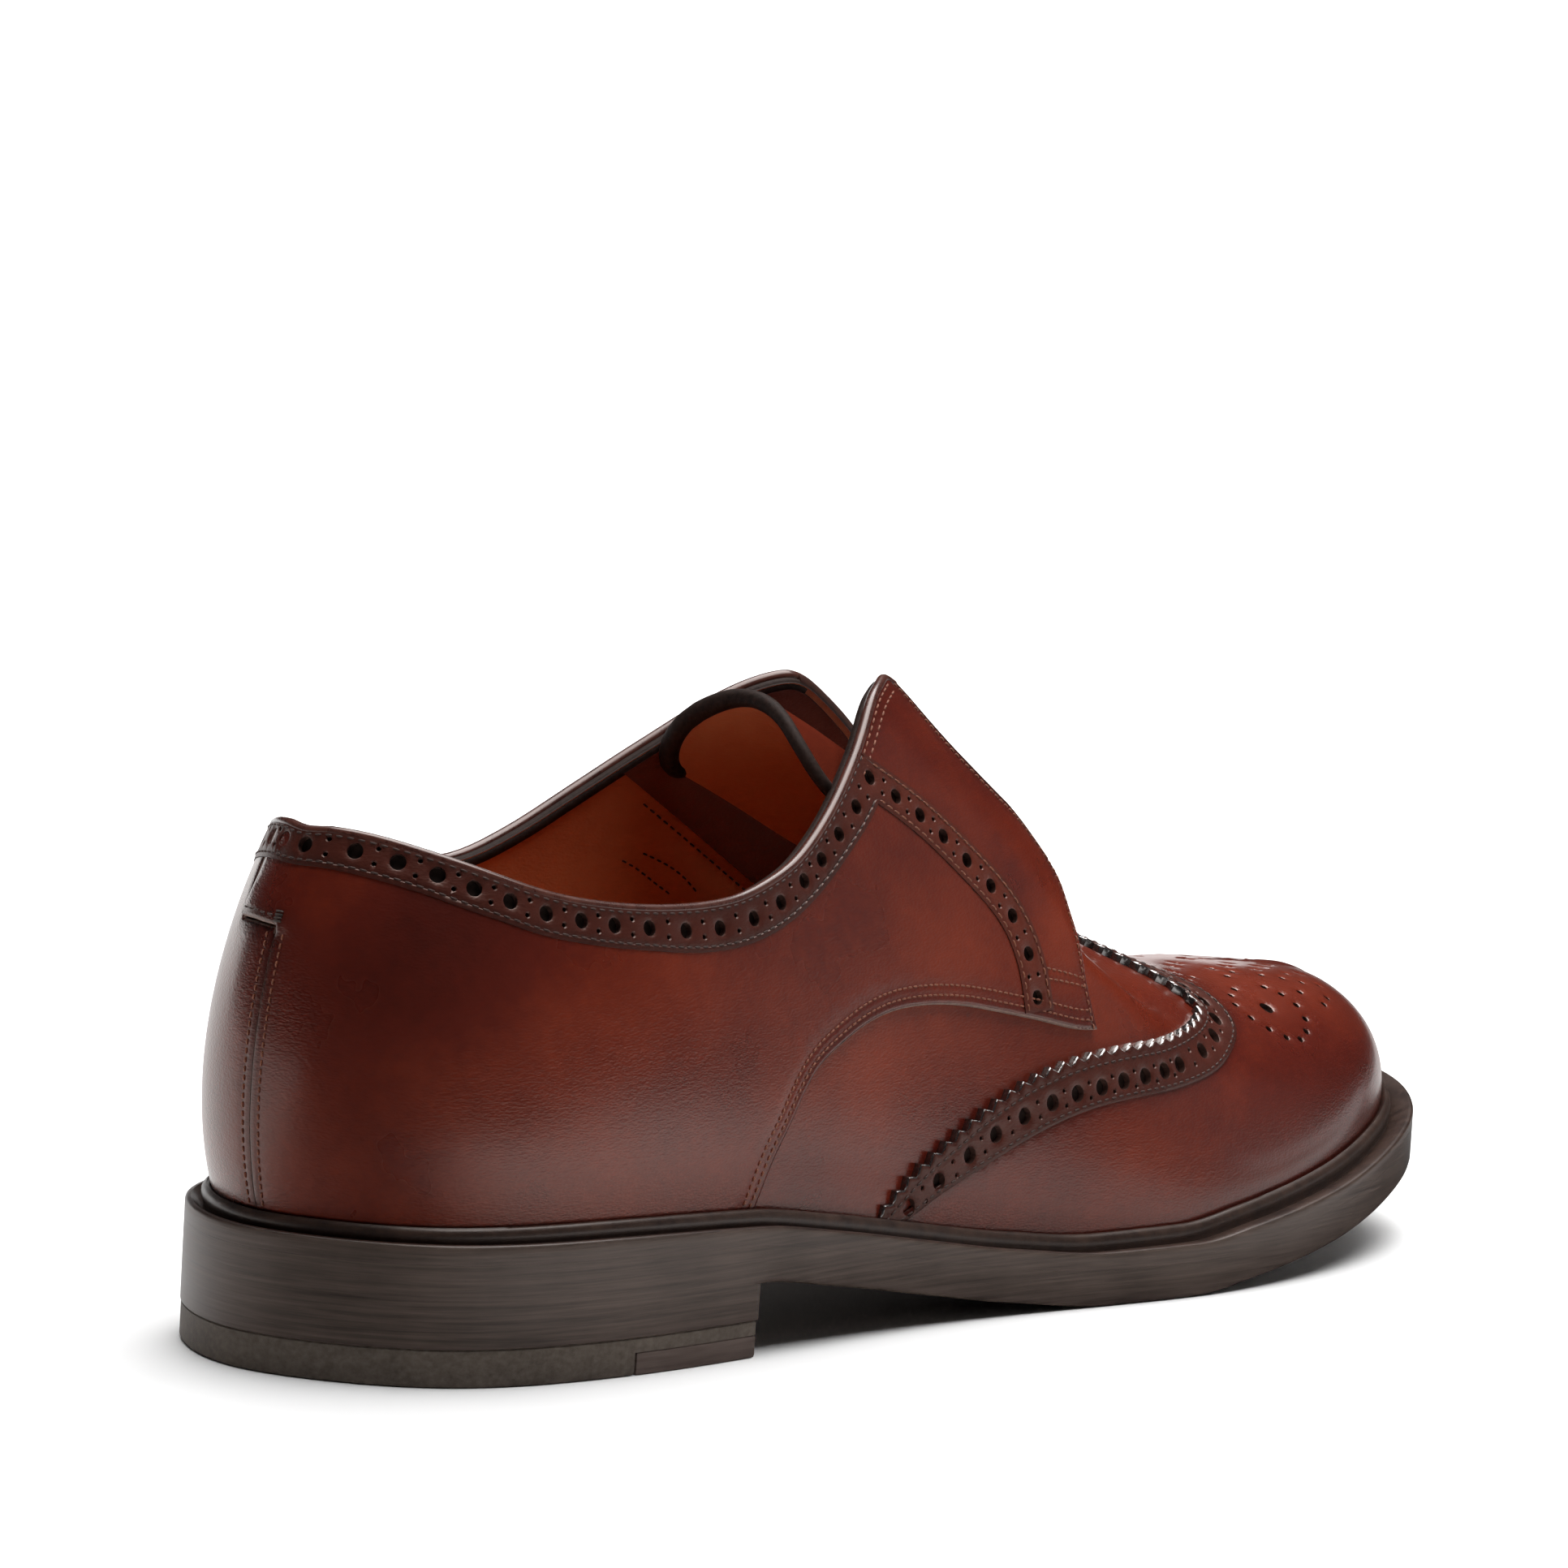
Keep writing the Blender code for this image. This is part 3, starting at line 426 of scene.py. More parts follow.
def holeLoops(chart, holes):  # chart rings for round holes of real radius
    centres = np.array([h[:2] for h in holes], float)
    ax, ay = chartSteps(chart, centres)
    loops = []
    for k, (x, y, radius) in enumerate(holes):
        g = np.array([[ax[k] @ ax[k], ax[k] @ ay[k]], [ax[k] @ ay[k], ay[k] @ ay[k]]])
        w, v = np.linalg.eigh(g)
        shrink = v @ np.diag(1 / np.sqrt(w)) @ v.T
        sides = 16 if radius > 0.8 else 8
        angles = np.arange(sides) * 2 * math.pi / sides
        ring = np.c_[np.cos(angles), np.sin(angles)] @ shrink.T
        loops.append((np.array((x, y)), ring * radius, ring * (radius + min(0.4, radius * 0.5))))
    return loops


def besideHoles(points, rings):
    for centre, small, wide in rings:
        points = points[~insideLoop(points, centre + wide)]
    return points


leatherRim = {
    "hole": 0.22, "holeLip": 0.03,  # how far a hole's edge and the ring round it fall below the face
    "insets": [(0.28, 0.3), (0.75, 0.0)],  # in from the cut edge, part of the edge's fall there
    "seam": [(0.0, 1.0), (0.6, 0.15), (-0.6, 0.15)],  # aside of a seam, part of its depth there
    "holeFloor": 0.12, "holeMiddle": 0.05,  # height of a blind hole's floor above the underside
    "shade": 2.2,  # reach of the darker rim
}


def scatterPoints(loop, chart, rings, cell, grooves, edgeFall):
    # chart points of a sheet and their fall below its face: rim, holes, seams, then rows over the rest
    points = [loop]
    drops = [np.full(len(loop), edgeFall)]
    tags = [np.full(len(loop), -1)]
    edges = [(i, (i + 1) % len(loop)) for i in range(len(loop))]
    total = len(loop)

    def lay(line, drop):
        points.append(line)
        drops.append(np.full(len(line), drop))

    for number, (centre, small, wide) in enumerate(rings):
        lay(centre + small, leatherRim["hole"])
        tags.append(np.full(len(small), number))
        edges += [(total + i, total + (i + 1) % len(small)) for i in range(len(small))]
        total += len(small)
    tree = treeOf(np.concatenate(points))
    for inset, part in leatherRim["insets"]:
        line = clearOf(sideStep(chart, loop, inset, closed=True), tree, 0.55 * inset)
        line = besideHoles(line, rings)
        lay(line[insideLoop(line, loop)], edgeFall * part)
    for centre, small, wide in rings:
        line = clearOf(centre + wide, tree, 0.12)
        lay(line[insideLoop(line, loop)], leatherRim["holeLip"])
    for row, depth in grooves:
        for aside, part in leatherRim["seam"]:
            line = besideHoles(clearOf(sideStep(chart, row, aside), tree, 0.35), rings)
            lay(line[insideLoop(line, loop)], depth * part)
    tree = treeOf(np.concatenate(points))
    lay(besideHoles(clearOf(fillRows(chart, loop, cell), tree, 0.6 * cell), rings), 0.0)
    flat = np.concatenate(points)
    tag = np.full(len(flat), -1)
    tag[:total] = np.concatenate(tags)
    return flat, np.concatenate(drops), tag, edges


def joinPoints(loop, flat, drop, tag, edges):  # triangles between the points, with the holes left open
    verts, _, faces, origin, _, _ = delaunay_2d_cdt([Vector(p) for p in flat], edges, [], 0, 1e-4)
    verts = np.array([tuple(v) for v in verts])
    first = [ids[0] if ids else -1 for ids in origin]
    drop = np.array([drop[k] if k >= 0 else 0.0 for k in first])
    tag = np.array([tag[k] if k >= 0 else -1 for k in first])
    faces = np.array(faces)
    a, b, c = tag[faces].T
    inHole = (a >= 0) & (a == b) & (b == c)
    faces = faces[~inHole & insideLoop(verts[faces].mean(1), loop)]
    used = np.unique(faces)
    index = np.full(len(verts), -1)
    index[used] = np.arange(len(used))
    return verts[used], index[faces], drop[used], tag[used]


def paintLeather(piece, places, verts, loop, tones):  # lighter and darker patches, and the darker rim
    tone = np.zeros(len(places))
    for tu, tt, reach, amount in tones:
        centre = upperFace(-1 if tu >= 0 else 1, np.array(abs(tu)), np.array(tt))
        tone += amount * np.exp(-((places - centre) ** 2).sum(1) / (reach * reach))
    rimTree = treeOf(loop)
    count = len(verts)
    near = np.zeros(len(places))
    reach = np.array([rimTree.find((p[0], p[1], 0.0))[2] for p in verts])
    near[:count] = np.exp(-reach / leatherRim["shade"])
    near[count:2 * count] = near[:count]
    paintPoints(piece, "tone", tone)
    paintPoints(piece, "rimShade", near)


def cutLeather(name, loop, chart, low, high, materials, cell=2.0, holes=(), grooves=(), edgeFall=0.4,
               relief=None, tones=(), through=False, rawRim=False, closed=None):
    # a sheet of leather cut on a chart: rounded rim, punched holes, sewn grooves, laid on the last
    rings = holeLoops(chart, holes) if len(holes) else []
    scattered = scatterPoints(loop, chart, rings, cell, grooves, edgeFall)
    verts, faces, drop, tag = joinPoints(loop, *scattered)
    side, u, t = chart(verts)
    if closed:  # edges that meet another piece hardly fall away
        drop = np.where(closed(side, u, t), 0.2 * drop, drop)
    swell = relief(side, u, t) if relief else np.zeros(len(verts))
    top = spot(chart, verts, high - drop + swell)[0]
    bottom = spot(chart, verts, low + np.minimum(swell, 0.0))[0]
    count = len(verts)
    places = [top, bottom]
    solid = [tuple(f) for f in faces.tolist()]
    slots = [0] * len(solid)
    if rawRim:  # the outermost fringe shows the cut edge
        fringe = (drop[faces] > 0.29 * edgeFall).all(1) & (tag[faces] < 0).all(1)
        slots = [1 if bare else 0 for bare in fringe]
    solid += [(count + c, count + b, count + a) for a, b, c in faces.tolist()]
    slots += [4] * len(faces)
    halves = {(f[i], f[(i + 1) % 3]) for f in faces.tolist() for i in range(3)}
    sewnUp = (u > 0.99999) | ((chart is overRidge) & (u < 1e-5))
    total = 2 * count
    deepRing = {}
    for a, b in sorted(halves):
        if (b, a) in halves:
            continue
        if tag[a] >= 0 and tag[a] == tag[b]:
            deepRing.setdefault(int(tag[a]), []).append((a, b))
        elif not (sewnUp[a] and sewnUp[b]):
            solid.append((a, count + a, count + b, b))
            slots.append(1)
    for number, pairs in deepRing.items():
        if through:
            solid += [(a, count + a, count + b, b) for a, b in pairs]
            slots += [2] * len(pairs)
            continue
        ids = sorted({i for pair in pairs for i in pair})
        deep = spot(chart, verts[ids], np.full(len(ids), low + leatherRim["holeFloor"]))[0]
        middle = rings[number][0][None]
        hub = spot(chart, middle, np.full(1, low + leatherRim["holeMiddle"]))[0]
        hubUnder = spot(chart, middle, np.full(1, low))[0]
        places += [deep, hub, hubUnder]
        at = {old: total + k for k, old in enumerate(ids)}
        total += len(ids) + 2
        for a, b in pairs:
            # each hole gets a wall, a floor whose near-black finish is painted shade, and the underside
            # beneath it
            solid += [(a, at[a], at[b], b), (at[a], total - 2, at[b]), (count + a, count + b, total - 1)]
            slots += [2, 3, 4]
    places = np.concatenate(places)
    piece = addPiece(name, places, solid, materials, slots)
    paintLeather(piece, places, verts, loop, tones)
    if chart is overRidge:
        sheet = bmesh.new()
        sheet.from_mesh(piece.data)
        bmesh.ops.remove_doubles(sheet, verts=sheet.verts, dist=1e-6)
        sheet.to_mesh(piece.data)
        sheet.free()
    print(name, len(piece.data.polygons), "faces")
    return piece


def bandFaces(rows, size, base=0, closed=False):  # quads between rows of points, each row a ring
    faces = []
    for r in range(rows if closed else rows - 1):
        a = base + r * size
        b = base + (r + 1) % rows * size
        for i in range(size):
            k = (i + 1) % size
            faces.append((a + i, a + k, b + k, b + i))
    return faces


threadRows = {}


def sewRow(thread, chart, line, height, pitch=2.0, part=0.72, thick=0.18):  # stitches along a chart line
    line = evenly(chart, line, 0.3)
    at, up = spot(chart, line, height)
    up = up if height > 0 else -up  # inside the shoe
    s = lengthAlong(at)
    count = int(s[-1] / pitch)
    if count < 1:
        return
    pitch = s[-1] / count
    starts = (np.arange(count) + 0.5 * (1 - part)) * pitch
    stops = starts[:, None] + np.array([0.0, 0.14, 0.5, 0.86, 1.0]) * pitch * part
    place = np.stack([np.interp(stops, s, at[:, k]) for k in range(3)], -1)
    normal = unit(np.stack([np.interp(stops, s, up[:, k]) for k in range(3)], -1))
    aside = np.cross(normal, unit(np.gradient(place, axis=1)))
    lift = np.array([-0.9, 0.05, 0.45, 0.05, -0.9]) * thick
    size = np.array([0.5, 1.0, 1.05, 1.0, 0.5]) * thick
    around = np.arange(6) * math.pi / 3
    ring = np.cos(around)[:, None] * aside[:, :, None, :] + np.sin(around)[:, None] * normal[:, :, None, :]
    verts = (place + normal * lift[:, None])[:, :, None, :] + ring * size[:, None, None]
    threadRows.setdefault(thread, []).append(verts)


def makeThreads(name, thread, material):
    verts = np.concatenate(threadRows[thread])
    count = len(verts)
    one = np.array(bandFaces(5, 6))
    quads = (one[None] + np.arange(count)[:, None, None] * 30).reshape(-1, 4)
    ends = np.array([(5, 4, 3, 2, 1, 0), (24, 25, 26, 27, 28, 29)])
    caps = (ends[None] + np.arange(count)[:, None, None] * 30).reshape(-1, 6)
    faces = quads.tolist() + caps.tolist()
    piece = addPiece(name, verts.reshape(-1, 3), faces, [material], smoothAngle=80)
    print(name, count, "stitches")


def sweepSection(name, origin, across, up, section, materials, grow=None, smoothAngle=60):
    # carries a closed section along a line of points, with its own across and up at each point
    size = np.ones(len(origin)) if grow is None else grow
    section = np.asarray(section, float)[None] * size[:, None, None]
    rows = origin[:, None] + across[:, None] * section[:, :, :1] + up[:, None] * section[:, :, 1:]
    wide = section.shape[1]
    faces = bandFaces(len(origin), wide)
    faces.append(tuple(reversed(range(wide))))
    faces.append(tuple((len(origin) - 1) * wide + j for j in range(wide)))
    return addPiece(name, rows.reshape(-1, 3), faces, materials, None, smoothAngle)


print("shape functions ready")

# Finishes
finishes = {
    "calf": {"deep": (0.026, 0.0034, 0.0028), "mid": (0.090, 0.0096, 0.0048), "warm": (0.23, 0.029, 0.0080),
             "rough": 0.29, "coat": 0.42, "coatRough": 0.17, "grain": 0.20},
    "strip": {"deep": (0.028, 0.0056, 0.0038), "mid": (0.062, 0.0108, 0.0060), "warm": (0.105, 0.017, 0.0080),
              "rough": 0.40, "coat": 0.10, "coatRough": 0.25, "grain": 0.16},
    "lining": {"deep": (0.30, 0.078, 0.028), "mid": (0.50, 0.155, 0.062), "warm": (0.62, 0.235, 0.10),
               "rough": 0.62, "coat": 0.0, "coatRough": 0.4, "grain": 0.25},
    "darkLining": {"deep": (0.09, 0.022, 0.013), "mid": (0.17, 0.041, 0.021), "warm": (0.23, 0.055, 0.027),
                   "rough": 0.55, "coat": 0.0, "coatRough": 0.4, "grain": 0.25},
    "tongueFace": {"deep": (0.030, 0.006, 0.004), "mid": (0.070, 0.011, 0.006), "warm": (0.12, 0.019, 0.008),
                   "rough": 0.85, "coat": 0.0, "coatRough": 0.3, "grain": 0.2, "shine": 0.0},
}


def newMaterial(name):
    material = bpy.data.materials.new(name)
    material.use_nodes = True
    return material, material.node_tree, material.node_tree.nodes["Principled BSDF"]


def fill(tree, node, values):  # numbers and colours are set, outputs of other nodes are wired in
    for key, value in values.items():
        if isinstance(value, bpy.types.NodeSocket):
            tree.links.new(value, node.inputs[key])
        else:
            node.inputs[key].default_value = value
    return node


def addNode(tree, kind, output, values, **settings):
    node = tree.nodes.new(kind)
    for key, value in settings.items():
        setattr(node, key, value)
    return fill(tree, node, values).outputs[output]


def ownPlace(tree):
    return addNode(tree, "ShaderNodeTexCoord", "Object", {})


def pointValue(tree, name):
    return addNode(tree, "ShaderNodeAttribute", "Fac", {}, attribute_name=name)


def noise(tree, where, scale, detail, roughness=0.5):
    values = {"Vector": where, "Scale": scale, "Detail": detail, "Roughness": roughness}
    return addNode(tree, "ShaderNodeTexNoise", "Fac", values)


def timesPlus(tree, value, factor, extra):
    return addNode(tree, "ShaderNodeMath", 0, {0: value, 1: factor, 2: extra}, operation="MULTIPLY_ADD")


def colourRamp(tree, value, stops):
    ramp = tree.nodes.new("ShaderNodeValToRGB")
    while len(ramp.color_ramp.elements) < len(stops):
        ramp.color_ramp.elements.new(0.5)
    for element, (place, colour) in zip(ramp.color_ramp.elements, stops):
        element.position = place
        element.color = (*colour, 1.0)
    return fill(tree, ramp, {"Fac": value}).outputs["Color"]


def leatherMaterial(name, look):
    material, tree, shader = newMaterial(name)
    where = ownPlace(tree)
    cloud = noise(tree, where, 34.0, 4.0, 0.55)
    fine = noise(tree, where, 420.0, 3.0, 0.6)
    speck = timesPlus(tree, fine, 0.16, timesPlus(tree, cloud, 0.55, 0.22))
    toned = addNode(tree, "ShaderNodeMath", 0, {0: speck, 1: pointValue(tree, "tone")}, operation="ADD")
    darker = timesPlus(tree, pointValue(tree, "rimShade"), -0.30, toned)
    colours = [(0.12, look["deep"]), (0.52, look["mid"]), (0.95, look["warm"])]
    along = {"Vector": where, "Scale": (0.7, 0.7, 1.5)}  # the grain runs along the shoe
    stretched = addNode(tree, "ShaderNodeMapping", "Vector", along)
    pebble = addNode(tree, "ShaderNodeTexVoronoi", "Distance", {"Vector": stretched, "Scale": 1900.0})
    grain = timesPlus(tree, noise(tree, stretched, 900.0, 2.0), 1.1, pebble)
    bump = {"Strength": look["grain"], "Distance": 0.00025, "Height": grain}
    fill(tree, shader, {
        "Base Color": colourRamp(tree, darker, colours),
        "Roughness": timesPlus(tree, cloud, 0.16, look["rough"] - 0.08),
        "Normal": addNode(tree, "ShaderNodeBump", "Normal", bump),
        "Specular IOR Level": look.get("shine", 0.5),
        "Specular Tint": (1.0, 0.80, 0.69, 1.0),  # waxed leather mirrors a little warm
        "Coat Tint": (1.0, 0.93, 0.88, 1.0),
        "Coat Weight": look["coat"],
        "Coat Roughness": look["coatRough"],
    })
    return material


def edgeMaterial(name, light, dark, rough, streak, bumpSize=0.15, coat=0.0, shine=0.5):
    # cut edges and trimmed sole sides: fine streaks, streak gives the scale along x, y, z
    material, tree, shader = newMaterial(name)
    where = ownPlace(tree)
    stretched = addNode(tree, "ShaderNodeMapping", "Vector", {"Vector": where, "Scale": streak})
    streaks = noise(tree, stretched, 1.0, 5.0, 0.65)
    mixed = timesPlus(tree, noise(tree, where, 60.0, 3.0), 0.35, streaks)
    bump = {"Strength": bumpSize, "Distance": 0.0003, "Height": streaks}
    fill(tree, shader, {
        "Base Color": colourRamp(tree, mixed, [(0.42, dark), (0.9, light)]),
        "Roughness": timesPlus(tree, streaks, 0.2, rough - 0.1),
        "Normal": addNode(tree, "ShaderNodeBump", "Normal", bump),
        "Specular IOR Level": shine,
        "Specular Tint": (1.0, 0.88, 0.82, 1.0),
        "Coat Weight": coat,
        "Coat Roughness": 0.2,
    })
    return material


calf = leatherMaterial("burnishedCalf", finishes["calf"])
stripCalf = leatherMaterial("darkStripCalf", finishes["strip"])
liningSkin = leatherMaterial("tanLining", finishes["lining"])
facingSkin = leatherMaterial("darkFacingLining", finishes["darkLining"])
tongueSkin = leatherMaterial("tongueCalf", finishes["tongueFace"])
calfEdge = edgeMaterial("paintedCutEdge", (0.060, 0.020, 0.014), (0.018, 0.007, 0.006),
                        0.5, (500, 500, 500), shine=0.2)
toothEdge = edgeMaterial("burntToothEdge", (0.030, 0.018, 0.016), (0.010, 0.006, 0.006),
                         0.22, (600, 600, 600), 0.1, 1.0, 1.0)
toothEdge.node_tree.nodes["Principled BSDF"].inputs["Coat IOR"].default_value = 2.2
rawEdge = edgeMaterial("rawCutEdge", (0.24, 0.15, 0.12), (0.10, 0.055, 0.042), 0.6, (900, 900, 900), 0.3)
beadEdge = edgeMaterial("polishedTopEdge", (0.10, 0.032, 0.022), (0.04, 0.012, 0.010),
                        0.28, (300, 300, 300), 0.1, 0.4)
liningEdge = edgeMaterial("darkLiningEdge", (0.030, 0.016, 0.013), (0.010, 0.006, 0.005),
                          0.6, (900, 900, 900), 0.5, shine=0.12)
# painted shade: the near-black floor of a blind hole stands in for the shadow deep inside the hole
paintedHoleShade = edgeMaterial("punchedHolePaintedShade", (0.034, 0.020, 0.016), (0.012, 0.007, 0.006),
                        0.6, (700, 700, 700), shine=0.2)
soleSide = edgeMaterial("trimmedSoleSide", (0.100, 0.070, 0.057), (0.032, 0.022, 0.018),
                        0.40, (40, 40, 1500), 0.2, 0.1)
weltTop = edgeMaterial("waxedWelt", (0.050, 0.026, 0.018), (0.014, 0.007, 0.006),
                       0.40, (260, 260, 260), 0.35, 0.15)
liftRubber = edgeMaterial("heelRubber", (0.135, 0.108, 0.086), (0.062, 0.048, 0.038),
                          0.62, (700, 700, 900), 0.3)
liftCorner = edgeMaterial("heelCorner", (0.135, 0.098, 0.084), (0.065, 0.043, 0.037),
                          0.5, (60, 60, 1200), 0.15)
holeWall = edgeMaterial("punchedWall", (0.085, 0.042, 0.032), (0.030, 0.014, 0.011),
                        0.36, (700, 700, 700))
insoleSkin = leatherMaterial("insoleLeather", finishes["lining"])


def skins(face, edge, under=None):  # materials of a sheet: face, cut edge, hole wall, hole floor painted near black as the shade deep in a hole, underside
    return [face, edge, holeWall, paintedHoleShade, under or face]


def threadMaterial(name, colour):
    material, tree, shader = newMaterial(name)
    twist = noise(tree, ownPlace(tree), 2200.0, 1.0)
    colours = [(0.3, tuple(0.6 * c for c in colour)), (0.8, colour)]
    fill(tree, shader, {"Base Color": colourRamp(tree, twist, colours), "Roughness": 0.6})
    return material


copperThread = threadMaterial("copperThread", (0.27, 0.085, 0.040))
brownThread = threadMaterial("brownThread", (0.060, 0.024, 0.016))
darkThread = threadMaterial("waxedThread", (0.060, 0.036, 0.026))
print("finishes ready")

# Lines drawn on the last, as u and t
lines = {
    "toplineBack": [(0.0, 0.617), (0.04, 0.618), (0.08, 0.608), (0.12, 0.592), (0.16, 0.572),
                    (0.205, 0.552)],
    "toplineOuter": [
        (0.25, 0.537), (0.273, 0.534), (0.296, 0.538), (0.32, 0.554), (0.342, 0.578), (0.362, 0.613),
        (0.379, 0.65), (0.397, 0.697), (0.415, 0.75), (0.428, 0.793), (0.442, 0.836), (0.456, 0.873),
        (0.4645, 0.8905),
    ],
    "toplineInner": [
        (0.25, 0.535), (0.278, 0.534), (0.302, 0.554), (0.32, 0.579), (0.338, 0.611), (0.355, 0.643),
        (0.373, 0.678), (0.39, 0.713), (0.406, 0.75), (0.423, 0.789), (0.438, 0.822), (0.449, 0.844),
        (0.4565, 0.856),
    ],
    "facingOuter": [
        (0.4695, 0.8905), (0.483, 0.863), (0.502, 0.818), (0.524, 0.787), (0.548, 0.766),
        (0.570, 0.750), (0.580, 0.715), (0.580, 0.67), (0.577, 0.624), (0.576, 0.578), (0.573, 0.52),
        (0.572, 0.476), (0.573, 0.428),
    ],
    "facingInner": [
        (0.465, 0.8615), (0.475, 0.861), (0.487, 0.857), (0.50, 0.852), (0.52, 0.842), (0.54, 0.826),
        (0.562, 0.79), (0.577, 0.735), (0.580, 0.68), (0.577, 0.624), (0.576, 0.578), (0.573, 0.52),
        (0.572, 0.476), (0.573, 0.428),
    ],
    "quarterFoot": [
        (0.573, 0.428), (0.562, 0.42), (0.534, 0.414), (0.51, 0.411), (0.486, 0.409), (0.462, 0.405),
        (0.437, 0.398), (0.412, 0.386), (0.391, 0.366), (0.37, 0.336), (0.353, 0.303), (0.341, 0.26),
        (0.332, 0.216), (0.321, 0.16), (0.312, 0.09), (0.305, 0.03),
    ],
    "throat": [(0.582, 0.735), (0.60, 0.782), (0.625, 0.845), (0.65, 0.915), (0.669, 1.0)],
    "capEdge": [
        (0.392, 0.03), (0.410, 0.095), (0.427, 0.150), (0.449, 0.202), (0.484, 0.272), (0.521, 0.330),
        (0.559, 0.376), (0.602, 0.426), (0.638, 0.477), (0.679, 0.549), (0.705, 0.608), (0.717, 0.652),
        (0.722, 0.72), (0.722, 0.78), (0.717, 0.85), (0.708, 0.93), (0.698, 1.0),
    ],
    "capStripFoot": [
        (0.405, 0.03), (0.426, 0.075), (0.445, 0.12), (0.473, 0.173), (0.508, 0.231), (0.55, 0.288),
        (0.595, 0.333), (0.641, 0.384), (0.68, 0.436), (0.712, 0.504), (0.735, 0.572), (0.748, 0.647),
        (0.757, 0.724), (0.759, 0.795), (0.754, 0.87), (0.744, 0.94), (0.734, 1.0),
    ],
    "capHoles": [
        (0.405, 0.055), (0.427, 0.10), (0.448, 0.152), (0.470, 0.20), (0.489, 0.237), (0.510, 0.270),
        (0.531, 0.297), (0.550, 0.318), (0.569, 0.336), (0.587, 0.356), (0.606, 0.377), (0.625, 0.403),
        (0.642, 0.428), (0.673, 0.479), (0.698, 0.532), (0.718, 0.591), (0.729, 0.66), (0.734, 0.73),
        (0.734, 0.80), (0.729, 0.87), (0.720, 0.94), (0.712, 1.0),
    ],
    "stripBack": [
        (0.0, 0.596), (0.04, 0.594), (0.066, 0.588), (0.09, 0.579), (0.113, 0.568), (0.136, 0.557),
        (0.159, 0.544), (0.182, 0.534), (0.204, 0.524), (0.228, 0.514), (0.254, 0.503),
    ],
    "stripOuter": [(0.279, 0.499), (0.305, 0.506), (0.327, 0.524), (0.347, 0.551), (0.363, 0.578),
                   (0.38, 0.611), (0.398, 0.648), (0.414, 0.690)],
    "stripInner": [(0.279, 0.500), (0.305, 0.517), (0.327, 0.549), (0.347, 0.586), (0.363, 0.617),
                   (0.38, 0.651), (0.398, 0.688), (0.410, 0.715)],
    "stripFacing": [(0.434, 0.668), (0.452, 0.648), (0.469, 0.627), (0.486, 0.605), (0.503, 0.581),
                    (0.517, 0.549), (0.525, 0.502), (0.527, 0.443)],
    "liningSeam": [(0.3615, 0.664), (0.395, 0.624), (0.425, 0.589), (0.456, 0.556), (0.489, 0.529),
                   (0.53, 0.505), (0.575, 0.49)],
    "liningRows": [[(0.404, 0.54), (0.419, 0.53), (0.436, 0.515), (0.452, 0.493)],
                   [(0.391, 0.528), (0.404, 0.517), (0.418, 0.501), (0.433, 0.485)]],
}


def sided(name, side):  # the line of that name on the outer or the inner side
    return lines[name + ("Outer" if side < 0 else "Inner")]


seamDepth = 0.16  # how far a sewn row sinks into the leather

# Leather pieces: heights above the last's face, in millimetres
vampCut = {
    "low": -0.9, "high": 0.0, "cell": 2.2, "rear": 0.27, "front": 0.79, "throatSink": 4.0,
    # where the sink starts and ends along u and starts along t, each with its soft width
    "sinkFrom": (0.574, 0.022), "sinkTo": (0.70, 0.065), "sinkAbove": (0.53, 0.12),
    "innerLess": (0.65, 0.16),  # part taken off the sink on the inner side, and its soft width from the ridge
    "tones": [(0.40, 0.33, 22, 0.22), (0.62, 0.62, 26, 0.20), (-0.40, 0.33, 22, 0.2),
              (-0.62, 0.62, 26, 0.06), (0.47, 0.12, 20, -0.16), (0.33, 0.14, 16, -0.1),
              (-0.47, 0.12, 20, -0.16)],
}


def throatSink(side, u, t):  # vamp and lining lie lower in front of the facings, less so on the inner side
    less, reach = vampCut["innerLess"]
    depth = -vampCut["throatSink"] * np.where(side > 0, 1 - less * np.clip((1 - t) / reach, 0, 1), 1.0)
    first, firstSoft = vampCut["sinkFrom"]
    final, finalSoft = vampCut["sinkTo"]
    above, aboveSoft = vampCut["sinkAbove"]
    for x in ((u - first) / firstSoft, (final - u) / finalSoft, (t - above) / aboveSoft):
        x = np.clip(x, 0, 1)
        depth = depth * x * x * (3 - 2 * x)
    return depth


def vampSwell(side, u, t):  # thicker where the vamp goes down behind the welt
    return throatSink(side, u, t) + 0.9 * np.clip((0.16 - t) / 0.1, 0, 1)


def makeVamp():
    spec = vampCut
    rear = [(spec["rear"], 0.02), (spec["rear"], 0.30), (0.33, 0.42), (0.40, 0.50), (0.50, 0.56),
            (0.55, 0.62), (0.575, 0.70)] + lines["throat"]
    outer, inner = (softLine(overRidge, frontLine(rear, s), 1.5) for s in (-1, 1))
    corner = [frontLine([(spec["rear"], 0.02)], s)[0] for s in (-1, 1)]
    nose = [frontLine([(spec["front"], 0.02)], s)[0] for s in (-1, 1)]
    loop = joined(straight(overRidge, corner[0], nose[0], 2.0), straight(overRidge, nose[0], nose[1], 2.0),
                  straight(overRidge, nose[1], corner[1], 2.0), inner, outer[::-1])
    piece = cutLeather("vamp", loop, overRidge, spec["low"], spec["high"], skins(calf, calfEdge, liningSkin),
                       spec["cell"], relief=vampSwell, tones=spec["tones"])
    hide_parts("upper")


liningCut = {"low": -1.8, "high": -0.95, "cell": 2.6, "facingLow": -2.35, "facingHigh": -1.85,
             "underEdge": 1.2, "step": 2.5, "seamRow": 2.0, "seamStitch": 2.4, "rowStitch": 2.0}


def tipRun(chart, toChart, side, rows, step):  # topline and facing in one soft run, cut in two at the tip
    top = lines["toplineBack"] + sided("topline", side)
    run = softLine(chart, toChart(top + sided("facing", side)[:rows], side), step)
    cut = int(np.argmin(np.hypot(*(run - toChart(top[-1:], side)[0]).T)))
    return run[:cut + 1], run[cut:]


